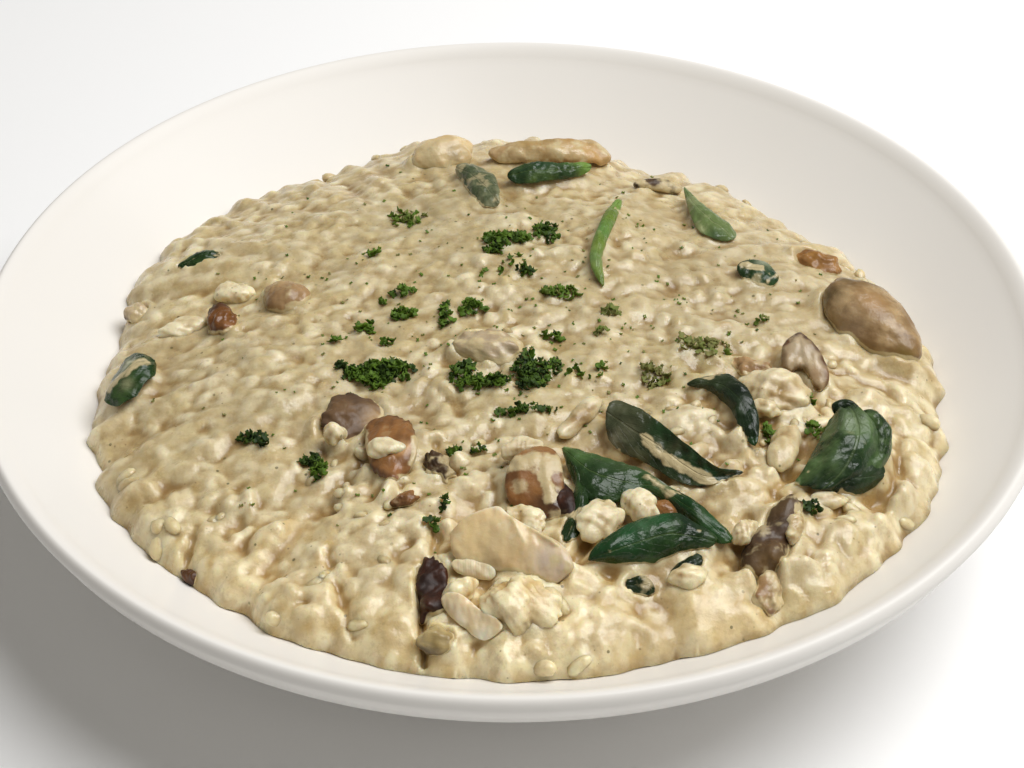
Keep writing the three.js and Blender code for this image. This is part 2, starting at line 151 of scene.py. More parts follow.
def addToScene(name, data):
    thing = bpy.data.objects.new(name, data)
    bpy.context.scene.collection.objects.link(thing)
    return thing


def placePiece(name, mesh, material, nodes=()):
    mesh.transform(Matrix.Scale(mm, 4))
    mesh.shade_smooth()
    mesh.materials.append(material)
    piece = addToScene(name, mesh)
    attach(piece, "root")
    if nodes:
        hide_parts(*nodes)
    return piece


def asMesh(bm, name):
    mesh = bpy.data.meshes.new(name)
    bm.to_mesh(mesh)
    bm.free()
    return mesh


def pointsOf(mesh):
    points = np.zeros(len(mesh.vertices) * 3)
    mesh.vertices.foreach_get("co", points)
    return points.reshape(-1, 3)


def movePoints(mesh, points):
    mesh.vertices.foreach_set("co", np.asarray(points, np.float32).ravel())
    mesh.update()


def writeValues(mesh, name, values):
    layer = mesh.attributes.new(name, "FLOAT", "POINT")
    layer.data.foreach_set("value", np.broadcast_to(values, len(mesh.vertices)).astype(np.float32))


def writePatches(mesh, points, name):  # a colour for each point and the share it takes
    colours, share = np.zeros((len(points), 4)), np.zeros(len(points))
    weights = np.full(len(points), 1e-6)
    for x, y, radius, colour, amount in patches.get(name, []):
        weight = amount * softSpot(points[:, 0], points[:, 1], x, y, radius)
        colours[:, :3] += weight[:, None] ** 2 * np.array(paint(*colour)[:3])
        share = np.maximum(share, weight)
        weights += weight ** 2
    colours[:, :3] /= weights[:, None]
    layer = mesh.attributes.new("patch", "FLOAT_COLOR", "POINT")
    layer.data.foreach_set("color", colours.astype(np.float32).ravel())
    writeValues(mesh, "patchShare", share)


def patched(material, colour):  # those patches, a few of them painted highlights and shade, over the piece's own colour
    patch = addNode(material, "ShaderNodeAttribute", attribute_name="patch").outputs["Color"]
    uneven = blotchy(material, (2.5, 3), 0.25, 0.6, 0.6, 1.0)
    return mixed(material, times(material, attribute(material, "patchShare"), uneven), colour, patch)


def turned(roll, pitch, yaw):  # degrees; roll about X comes first
    return np.array(Euler([math.radians(angle) for angle in (roll, pitch, yaw)]).to_matrix())


def pieceName(node):  # mushroom_back_cap becomes mushroomBackCap
    first, *rest = node.split("_")
    return first + "".join(word.capitalize() for word in rest)


# the bowl

bowl = {
    "rimRadius": 120, "height": 41, "wall": 5.6,
    "floorRadius": 46, "floorHeight": 7.5, "sweep": 1.7,  # sweep: power of the wall's rise
    "footOuter": 46, "footInner": 39, "footHeight": 3, "footRound": 1.2, "undersideRadius": 56,
    "segments": 256, "wallSteps": 40, "lipSteps": 9,
    "lipCrest": 118.3, "lipCurve": 1.35,  # the lip's highest line, and how the inside rounds up to it
}
innerRim = bowl["rimRadius"] - bowl["wall"]
lipHeight = bowl["height"] - bowl["wall"] / 2


def wallHeight(radius):
    along = np.clip((radius - bowl["floorRadius"]) / (innerRim - bowl["floorRadius"]), 0, None)
    return bowl["floorHeight"] + (lipHeight - bowl["floorHeight"]) * along ** bowl["sweep"]


def wallLine(start, offset):  # points of the inside wall from a radius to the rim, moved outwards
    line = []
    for radius in np.linspace(start, innerRim, bowl["wallSteps"]):
        slope = (wallHeight(radius + 0.01) - wallHeight(radius - 0.01)) / 0.02
        shift = offset / math.hypot(slope, 1)
        line.append((radius + slope * shift, wallHeight(radius) - shift))
    return line


glaze = {
    "whites": (paint(240, 237, 232), paint(236, 232, 226)), "cloudSize": 60,
    "pits": (9, 0.16, 0.12, paint(190, 184, 172)),  # spacing, radius, share, colour
    "bareFoot": (0.7, 0.4, paint(206, 196, 178)),  # heights between which the glaze ends, colour
    "roughness": (0.3, 0.8),  # glazed, bare
    "relief": [(22, 1, 0.05), (3, 1, 0.006)],
    "shader": {"Specular IOR Level": 0.16, "Coat Weight": 0.04, "Coat Roughness": 0.12},
}


def glazeMaterial():
    material = newMaterial("whiteGlaze")
    place = addNode(material, "ShaderNodeTexCoord").outputs["Object"]
    height = addNode(material, "ShaderNodeSeparateXYZ", {0: place}).outputs["Z"]
    glazed, unglazed, clay = glaze["bareFoot"]
    bare = between(material, height, glazed * mm, unglazed * mm)
    spacing, radius, share, pitColour = glaze["pits"]
    pits = times(material, speckled(material, spacing, radius), share)
    cloudy = mixed(material, grown(material, glaze["cloudSize"]), *glaze["whites"])
    setShader(material, {
        **glaze["shader"],
        "Base Color": mixed(material, bare, mixed(material, pits, cloudy, pitColour), clay),
        "Roughness": between(material, bare, 0, 1, *glaze["roughness"]),
        "Normal": bumped(material, grownRelief(material, glaze["relief"])),
    })
    return material


def lipLine():  # over the lip, from the outside to the inside
    crest, tall = bowl["lipCrest"], bowl["wall"] / 2
    line = []
    for angle in np.linspace(0, math.pi / 2, bowl["lipSteps"])[1:]:
        outwards = (bowl["rimRadius"] - crest) * math.cos(angle)
        line.append((crest + outwards, lipHeight + math.sin(angle) * tall))
    for share in np.linspace(1, 0, bowl["lipSteps"])[1:-1]:
        radius = innerRim + (crest - innerRim) * share
        line.append((radius, lipHeight + tall * (1 - (1 - share) ** bowl["lipCurve"])))
    return line


def makeBowl():
    edge, tall = bowl["footRound"], bowl["footHeight"]
    inner, outer = bowl["footInner"], bowl["footOuter"]
    profile = [
        (0, tall), (inner - edge, tall), (inner, tall - edge / 2), (inner + edge / 2, edge / 3),
        (inner + edge, 0), (outer - edge, 0), (outer - edge / 3, edge / 3), (outer, edge),
        (outer + edge / 2, tall - edge / 4), (outer + edge * 2, tall),
        *wallLine(bowl["undersideRadius"], bowl["wall"]), *lipLine(),
        *wallLine(bowl["floorRadius"], 0)[::-1], (0, bowl["floorHeight"]),
    ]
    bm = bmesh.new()
    points = [bm.verts.new((radius, 0, height)) for radius, height in profile]
    edges = [bm.edges.new(pair) for pair in zip(points, points[1:])]
    bmesh.ops.spin(bm, geom=points + edges, cent=(0, 0, 0), axis=(0, 0, 1), angle=2 * math.pi,
                   steps=bowl["segments"], use_merge=True)
    bmesh.ops.remove_doubles(bm, verts=bm.verts, dist=0.001)
    bmesh.ops.recalc_face_normals(bm, faces=bm.faces)
    placePiece("bowlGlazed", asMesh(bm, "bowlGlazed"), glazeMaterial(), ["bowl"])
    print("bowl made")


# the heap's form, as in the frame

heap = {
    "middle": 27, "dome": 9, "bank": 3.6, "bankWidth": 9,
    "shore": [95.5, 91, 88, 93, 91, 94.5, 93.5, 99.5, 103.5, 107.5, 107, 103],  # every 30 degrees
    "shoreWaves": [  # (waves, size, phase)
        (7, 0.7, 1.0), (13, 0.5, 2.2), (23, 0.35, 4.0), (31, 0.4, 0.4), (41, 0.35, 2.9),
        (53, 0.3, 3.1), (67, 0.25, 0.9), (89, 0.2, 5.0),
    ],
    "swells": [  # (x, y, radius, height)
        (-22, -66, 17, 2.6), (14, -74, 16, 3.0), (50, -58, 17, 2.2), (72, -30, 15, 2.4),
        (60, 6, 20, 2.0), (24, 28, 24, 2.2), (-12, 4, 26, 1.6), (-58, -20, 20, 1.8),
        (-62, 34, 18, 1.6), (-30, 62, 15, 1.4), (18, 70, 18, 2.4), (-48, -56, 16, 1.4),
        (8, -30, 18, 1.4), (36, -22, 16, 1.6),
    ],
}


def shoreRadius(angle):  # where the rice meets the wall
    shore = np.array(heap["shore"], float)
    turns = (angle / (2 * np.pi)) % 1 * len(shore)
    index = np.floor(turns).astype(int)
    around = [shore[(index + step) % len(shore)] for step in (-1, 0, 1, 2)]
    curve = smoothCurve(*around, turns - index)
    for waves, size, phase in heap["shoreWaves"]:
        curve = curve + size * np.sin(waves * angle + phase)
    return curve


def shoreDistance(x, y):  # from the shore inwards
    return shoreRadius(np.arctan2(y, x)) - np.hypot(x, y)


def heapHeight(x, y):
    radius = np.hypot(x, y)
    shore = shoreRadius(np.arctan2(y, x))
    out = np.minimum(radius / shore, 1)
    inland = np.clip((shore - radius) / heap["bankWidth"], 0, 1)
    height = heap["middle"] + (wallHeight(shore) - heap["middle"]) * out ** 2
    height = height + heap["bank"] * np.sqrt(1 - (1 - inland) ** 2) + heap["dome"] * (1 - out ** 2)
    for swellX, swellY, size, rise in heap["swells"]:
        height = height + rise * inland * softSpot(x, y, swellX, swellY, size)
    return height - np.maximum(radius - shore, 0)


# toppings; caps: at is the place on the heap, lift the middle's height over it, turn is roll, pitch
# and yaw; film is how much cream lies on the piece, none where it is left out

mushroomCaps = {
    "mushroom_right_whole": {"at": (82, -3), "lift": 2.8, "size": (29, 17, 12), "turn": (0, 10, -57),
        "look": "skin", "rough": 0.1, "bulge": -0.5},
    "mushroom_back_cap": {"at": (-18, 71), "lift": 1.4, "size": (16, 11, 7), "turn": (10, 0, 18),
        "look": "flesh", "film": 0.35},
    "mushroom_right_back": {"at": (73, 26), "lift": 0.8, "size": (12, 8, 6), "turn": (0, 0, -45),
        "look": "amber", "rough": 0.25, "lapped": 0.6},
    "mushroom_centre_cap": {"at": (-5, -19), "lift": 1, "size": (16, 10, 6), "turn": (0, 0, -6),
        "look": "grey", "film": 0.5},
    "mushroom_left_cap": {"at": (-52, 5), "lift": 0.8, "size": (11, 9, 7), "turn": (0, 0, -20),
        "look": "rosy", "film": 0.3},
    "mushroom_left_bit": {"at": (-66, -1), "lift": 0.4, "size": (10, 7, 6), "turn": (0, 0, -61),
        "look": "russet", "film": 0.15, "rough": 0.34},
    "mushroom_front_cap": {"at": (-34, -40), "lift": 0.7, "size": (17, 12, 7), "turn": (15, 0, 45),
        "look": "mauve", "film": 0.05, "top": 0.75, "rough": 0.26},
    "mushroom_gap_chunk": {"at": (-15, -89), "lift": -2.2, "size": (15, 7.5, 8), "turn": (0, 14, -86),
        "look": "dark", "rough": 0.55},
    "mushroom_front_bit": {"at": (-14, -101), "lift": 0.4, "size": (7, 5.5, 5), "turn": (0, 0, 0),
        "look": "olive", "film": 0.3, "rough": 0.2},
    "mushroom_right_chunk": {"at": (51, -77), "lift": 0.2, "size": (20, 9, 8), "turn": (0, 15, -111),
        "look": "taupe", "film": 0.3, "rough": 0.3, "lapped": 2.4},
}
capShape = {"bulge": 0.25, "top": 1.15, "foot": 0.8, "rough": 0.14, "fine": 0.4, "lapped": 1.8}

# Sheets are lofted between a front and a back edge; an edge's stations are (x, y, height over the
# heap). bulge arches the middle, thick is the thickness, ends the share of the length that is rounded.
# films are cream on top: from and to as (along, across), then radius and amount.

sheetMesh = {  # blunt is how square a sheet's section is, across and in height
    "around": 64, "rings": 80, "ends": 0.14, "thick": 0.6, "ragged": 0.07, "blunt": (0.6, 0.8),
    "raggedWaves": (30, 2, 6), "filmRise": 0.7, "filmFade": 1.2,
}

mushroomSlices = {
    "mushroom_back_slice": {
        "back": [(-6.2, 71.7, 2), (2.1, 72.9, 4), (12.4, 72.2, 5), (20.3, 75.1, 4), (25.4, 71.5, 2)],
        "front": [(-5.7, 67, 1), (2.1, 66.1, 1.5), (12.3, 65.1, 1.5), (20, 65.7, 1.5), (25.2, 67.2, 1)],
        "bulge": [1, 1.4, 1, 1.4, 1], "thick": 2.4, "look": "golden", "film": 0.5},
    "mushroom_back_sliver": {
        "back": [(30.4, 57.7, 2), (36.4, 60.1, 2.5), (43.3, 59.7, 2)],
        "front": [(30.8, 56.1, 1), (36.5, 56.6, 1), (43.1, 56.5, 1)],
        "bulge": [0.3, 0.6, 0.3], "thick": 1.4, "look": "taupe", "film": 0.65},
    "mushroom_right_slice": {
        "back": [(58.3, -23.6, 2), (59.5, -18.3, 5), (63.3, -15.3, 6.2), (66.6, -20.3, 6),
            (69.3, -26.8, 3)],
        "front": [(60.3, -25.2, 1), (61.7, -24.9, 2), (63.5, -25.5, 2.5), (65.2, -29.5, 2),
            (66.9, -31.1, 1)],
        "bulge": [0.5, 0.8, 1, 0.8, 0.5], "thick": 2.4, "look": "grey", "film": 0.1},
    "mushroom_brown_stem": {
        "back": [(-29.5, -43.5, 3.6), (-25.5, -43.9, 5), (-21, -46.4, 4.6), (-19.6, -52, 2.6)],
        "front": [(-29.4, -50, 1.5), (-28.4, -57.9, 1.5), (-24.1, -61.7, 1.6), (-20, -59, 1.4)],
        "bulge": [0.5, 0.9, 0.9, 0.5], "thick": 2.4, "look": "orange", "film": 0.1,
        "films": [(0, 0.3, 0.2, -0.7, 1.3, 0.7), (0.9, 0.6, 0.98, -0.7, 1.6, 0.9)]},
    "mushroom_middle_chunk": {
        "back": [(-1, -61.7, 4), (1.6, -57.8, 6), (6.1, -56.3, 6.2), (10.1, -59.2, 5)],
        "front": [(-1.6, -67.2, 1.5), (2, -71, 1), (6.7, -73.4, 1), (10.8, -72.4, 1)],
        "bulge": [0.5, 1, 0.8, 0.4], "thick": 2.4, "look": "orange", "film": 0.35,
        "films": [(0.12, 0.8, 0.85, 0.5, 3.2, 0.9), (0.66, 0.3, 0.74, -0.6, 1.8, 0.8)]},
    "mushroom_front_slice": {
        "back": [(-12.1, -77.8, 4), (-8.1, -76.4, 6.5), (-3.5, -75.8, 8.2), (0, -78.3, 7.2),
            (5.4, -81, 6), (9.6, -83.7, 5), (12.2, -86.8, 4)],
        "front": [(-11.7, -79.1, 3), (-10.8, -83.7, 2.5), (-6.1, -85.5, 2.5), (-1.3, -87.2, 2.5),
            (3.4, -88.9, 2.5), (7.6, -90.4, 2.5), (11.4, -89.1, 3)],
        "bulge": [0.2, 0.3, 0.4, 0.1, 0.5, 0.8, 0.6], "thick": 1.8, "rough": 0.25, "look": "clear",
        # the last film, along the notch, is a cream-coloured painted highlight line
        "film": 0.05, "films": [(0.82, 0.1, 0.97, -0.3, 2.6, 0.55), (0.62, 0.95, 0.8, 0.8, 0.8, 0.9),
        (0.5, 0.95, 0.6, 0.1, 0.7, 0.6)]},
    "mushroom_pale_strip": {
        "back": [(-11.8, -83.6, 2.5), (-7.7, -83.7, 3), (-2.9, -86.3, 3)],
        "front": [(-11.5, -85.3, 1.6), (-7.7, -87.1, 1.6), (-3.4, -88.4, 1.8)],
        "bulge": [0.2, 0.3, 0.2], "thick": 1.2, "rough": 0.3, "look": "clear", "film": 0.3},
    "mushroom_pale_slice": {
        "back": [(-13.5, -91.9, 3), (-9.8, -93.5, 4.5), (-5.6, -97, 4.5), (-1.5, -100.1, 3)],
        "front": [(-12.8, -95, 1.6), (-9.7, -98.6, 1.6), (-5.6, -101.6, 1.8), (-1.9, -101.5, 1.8)],
        "bulge": [0.1, 0.2, 0.2, 0.1], "thick": 1.1, "rough": 0.3, "look": "clear", "film": 0.1},
}

spinachLeaves = {
    "spinach_left_roll": {
        "back": [(-89.5, -24, 1.5), (-88.5, -18.5, 4), (-84.5, -13.6, 5), (-80.2, -14.6, 3.5)],
        "front": [(-86.5, -29.5, 1.5), (-82.8, -28.4, 3), (-79.5, -24.4, 3.5), (-78.4, -18.5, 2.5)],
        "bulge": [1, 1.6, 1.6, 1], "look": "dark", "films": [(0.25, 0.05, 0.72, -0.1, 2, 0.8)]},
    "spinach_back_left": {
        "back": [(-80.3, 24.6, 1), (-76.7, 26.6, 2.4), (-73.3, 27.4, 2.6), (-69.5, 26.3, 2)],
        "front": [(-79.8, 23.2, 0.6), (-76.1, 22.6, 0.8), (-73.2, 23.3, 0.8), (-69.9, 24.2, 0.8)],
        "bulge": [0.3, 0.8, 0.8, 0.3], "look": "dark", "film": 0.1},
    "spinach_back_grey": {
        "back": [(-13.7, 61, 4), (-9.1, 58.4, 4.5), (-4.5, 52.2, 4), (-2.4, 41.4, 3)],
        "front": [(-14.1, 57.4, 1.6), (-10.9, 48.3, 1.6), (-7.8, 40.8, 1.2), (-3.4, 39.3, 1)],
        "bulge": [0.6, 1.4, 1.4, 0.5], "look": "filmed", "film": 0.3},
    "spinach_back_dark": {
        "back": [(-1.3, 55.5, 4), (4.5, 57.1, 5.2), (11.5, 57.1, 5.6), (20.3, 61.4, 4)],
        "front": [(-1, 52.7, 2), (4.5, 51.1, 2), (12, 53.4, 2.4), (19.7, 57.9, 2)],
        "bulge": [0.4, 1, 1, 0.4], "look": "twoTone"},
    "spinach_stem": {
        "back": [(25.9, 43.8, 3), (21.8, 31, 3.5), (19, 18.5, 4), (18, 10.3, 3.2), (20.1, 3.7, 1.6)],
        "front": [(27.4, 41.7, 2.8), (24.5, 28.8, 3), (22, 18.6, 3), (20.8, 10.3, 2.4),
            (21.3, 4.1, 1.2)],
        "bulge": [0.3, 0.8, 0.9, 0.7, 0.2], "look": "bright", "film": 0.1},
    "spinach_pointed": {
        "back": [(43.5, 54.9, 4.5), (46.5, 45.8, 4.5), (50.5, 39.7, 4), (53.6, 36.2, 3), (55, 32.5, 2)],
        "front": [(42.8, 52.5, 3.8), (43.7, 41.9, 2.8), (45.1, 34.2, 2.2), (47.6, 30.4, 1.6),
            (51.6, 29.6, 1)],
        "bulge": [0.2, 0.6, 1.2, 1.2, 0.5], "look": "light"},
    "spinach_small": {
        "back": [(52.1, 14.9, 2.4), (56.3, 17.1, 3.4), (60, 16.6, 3.2), (62.5, 12.7, 1.8)],
        "front": [(52.8, 11.8, 1), (55.5, 9.6, 1), (58.7, 8.4, 1), (61.3, 9.9, 1)],
        "bulge": [0.5, 1.2, 1.2, 0.5], "look": "dark", "film": 0.3,
        "films": [(0.15, 0.4, 0.5, 0.1, 1.5, 0.75), (0.7, -0.6, 0.9, 0.2, 1, 0.6)]},
    "spinach_big": {
        "back": [(20.7, -40, 6), (26.9, -45, 7), (31.9, -51.1, 7), (36.4, -56.6, 6), (41, -61, 4.5),
            (46.8, -60, 3)],
        "front": [(19.1, -47.6, 2.6), (22.2, -52.3, 2), (27.7, -56.5, 2), (32.5, -61.2, 2),
            (37.6, -63.3, 2.2), (46.4, -61.1, 2.4)],
        "bulge": [1.2, 1, -0.5, -1.3, -1, 0.2], "look": "greyed", "ends": 0.08,
        "films": [(0.3, -0.05, 0.55, -0.3, 1.6, 0.75), (0.5, -0.3, 0.84, -0.55, 1.7, 1)]},
    "spinach_arched": {
        "back": [(36.7, -32, 3), (40.9, -31.7, 4.5), (46, -32.4, 6), (49.1, -37.3, 7), (51.1, -43.2, 6),
            (51.2, -51.3, 2.5)],
        "front": [(37.9, -33.2, 2.5), (41.2, -34, 3), (44.2, -38, 3.6), (46, -42.7, 4), (47, -47.4, 3.6),
            (48.7, -51.8, 1.6)],
        "bulge": [0.3, 0.8, 1.2, 1.4, 1, 0.4], "look": "deep"},
    "spinach_fork": {
        "back": [(10.6, -54.6, 5), (18.5, -58.7, 6), (25, -61.9, 6), (30.3, -65.7, 5), (37, -71.3, 5),
            (44, -77.5, 3)],
        "front": [(10.1, -56.3, 4), (14.2, -68.9, 2.6), (20.9, -69.9, 3.2), (28.4, -67.9, 3.6),
            (34.9, -74.8, 3.6), (40.9, -80.1, 2.4)],
        "bulge": [0.6, 1.6, 1.2, 0.5, 1.2, 0.5], "look": "dark", "ends": 0.06,
        "films": [(0.5, 0.5, 0.66, 0.2, 1.6, 0.7), (0.68, 0.75, 0.95, 0.5, 0.45, 0.5)]},
    "spinach_fork_branch": {
        "back": [(10.9, -58.5, 4.5), (12.6, -64.5, 3.5), (11.2, -72.1, 2.5), (8.6, -79.2, 1)],
        "front": [(13.9, -61, 4.5), (15.1, -67.9, 3.5), (14.7, -74.1, 2.5), (12.2, -80.5, 1)],
        "bulge": [0.5, 1, 1, 0.5], "look": "dark"},
    "spinach_low": {
        "back": [(14.2, -84.6, 3), (18.1, -81.5, 5.5), (24.8, -77.4, 6.5), (31.2, -75.4, 6.5),
            (36.7, -76.7, 5), (40.3, -78.8, 4)],
        "front": [(14.4, -84.6, 2), (19.2, -85.1, 2.2), (24.6, -84.9, 2.4), (29.4, -83.4, 2.6),
            (34.6, -81, 2.8), (38.9, -80.4, 3)],
        "bulge": [0.8, 2, 2.2, 2, 1.2, 0.4], "look": "dark", "ends": 0.06,
        "films": [(0.2, 0.1, 0.55, 0.2, 2, 0.28), (0.62, 0.3, 0.8, 0.4, 1.2, 0.3)]},
    "spinach_under": {
        "back": [(30.4, -85.1, 1.6), (32.8, -83.3, 2.6), (36.5, -80.9, 2.8)],
        "front": [(30, -86.8, 0.6), (33.2, -86.1, 1), (36.8, -83.4, 1.4)],
        "bulge": [0.4, 0.8, 0.4], "look": "deep"},
    "spinach_right_fold": {
        "back": [(71.2, -44, 6), (75.6, -45.6, 8), (77.8, -50.5, 7), (75.2, -57.3, 4),
            (66.9, -63.1, 1.5)],
        "front": [(66.4, -44, 7), (64, -49.6, 6), (61.2, -55.3, 4.6), (57.9, -60.4, 3), (57, -63, 1.6)],
        "bulge": [2, 4, 4.6, 3.2, 1], "look": "sheen", "film": 0.06, "pleats": 0.55},
}

# Scraps that the frame has no nodes for.
extraCaps = {
    "mushroom_edge_bit": {"at": (-88.5, 11.5), "lift": 0.4, "size": (6.5, 6, 5), "turn": (0, 0, 40),
        "look": "grey", "film": 0.5, "rough": 0.25},
    "mushroom_dark_scrap": {"at": (-63.8, -77.4), "lift": -0.7, "size": (5, 3, 3), "turn": (0, 0, -40),
        "look": "russet", "rough": 0.3, "lapped": 0.8},
    "mushroom_under_slice": {"at": (10.5, -69), "lift": 0.5, "size": (12, 5, 6), "turn": (0, 0, -80),
        "look": "dark", "film": 0.1, "rough": 0.2},
    "mushroom_right_foot": {"at": (49.5, -87), "lift": -0.7, "size": (11, 6, 5), "turn": (0, 0, -100),
        "look": "rosy", "film": 0.7, "rough": 0.3},
    "mushroom_leaf_bit": {"at": (30, -71), "lift": 3, "size": (6, 4, 4), "turn": (0, 0, -20),
        "look": "orange", "film": 0.3, "rough": 0.2},
    "mushroom_stem_scrap": {"at": (-15.6, -57.5), "lift": 0.8, "size": (8, 4.6, 4.4),
        "turn": (0, 0, -62), "look": "taupe", "film": 0.4, "rough": 0.4, "lapped": 1.4},
    "mushroom_orange_scrap": {"at": (-21.7, -67), "lift": 0.6, "size": (4.6, 3.2, 3), "turn": (0, 0, 20),
        "look": "orange", "film": 0.2, "rough": 0.4, "lapped": 0.9},
    "mushroom_side_scrap": {"at": (52, -23.2), "lift": 0.8, "size": (10, 5.4, 4.6), "turn": (0, 0, -32),
        "look": "rosy", "film": 0.3, "rough": 0.3, "lapped": 1.2},
}
extraLeaves = {
    "spinach_fold_curl": {
        "back": [(66.6, -44.9, 7), (66.3, -43.8, 9), (69, -43, 10), (71.4, -44, 9.5), (72.3, -45.7, 8)],
        "front": [(67.9, -45.5, 6.8), (67.8, -45, 8.2), (68.9, -44.9, 9), (70, -45.2, 8.8),
            (70.7, -46.1, 7.2)],
        "bulge": [0.3, 0.5, 0.5, 0.5, 0.3], "look": "deep"},
    "spinach_fold_side": {
        "back": [(71.6, -44.9, 8), (75.2, -45.4, 9.2), (77.8, -49, 8), (77.4, -53.2, 6),
            (74.6, -57.1, 3.4)],
        "front": [(71.8, -47.6, 7.8), (73.1, -49.3, 8.8), (73.8, -52.5, 8), (72.8, -55.4, 6),
            (71.6, -57.4, 3.6)],
        "bulge": [0.6, 1.2, 1.4, 1.2, 0.5], "look": "sheen", "film": 0.1},
    "spinach_fold_low": {
        "back": [(64.8, -58.6, 5.2), (70.4, -57.2, 6.6), (76, -56, 5)],
        "front": [(63.6, -62.6, 1.2), (69.4, -62.4, 1.4), (75.2, -58.4, 1.8)],
        "bulge": [0.8, 1.6, 0.8], "look": "deep"},
    "spinach_eye": {
        "back": [(21.6, -87.4, 1.6), (24.8, -86.6, 2), (27.4, -88.2, 1.4)],
        "front": [(21.8, -89.6, 0.6), (24.8, -90.4, 0.6), (27.2, -89.6, 0.6)],
        "bulge": [0.3, 0.6, 0.3], "look": "deep", "film": 0.4},
}
allCaps = {**mushroomCaps, **extraCaps}
allLeaves = {**spinachLeaves, **extraLeaves}
allSheets = {**mushroomSlices, **allLeaves}
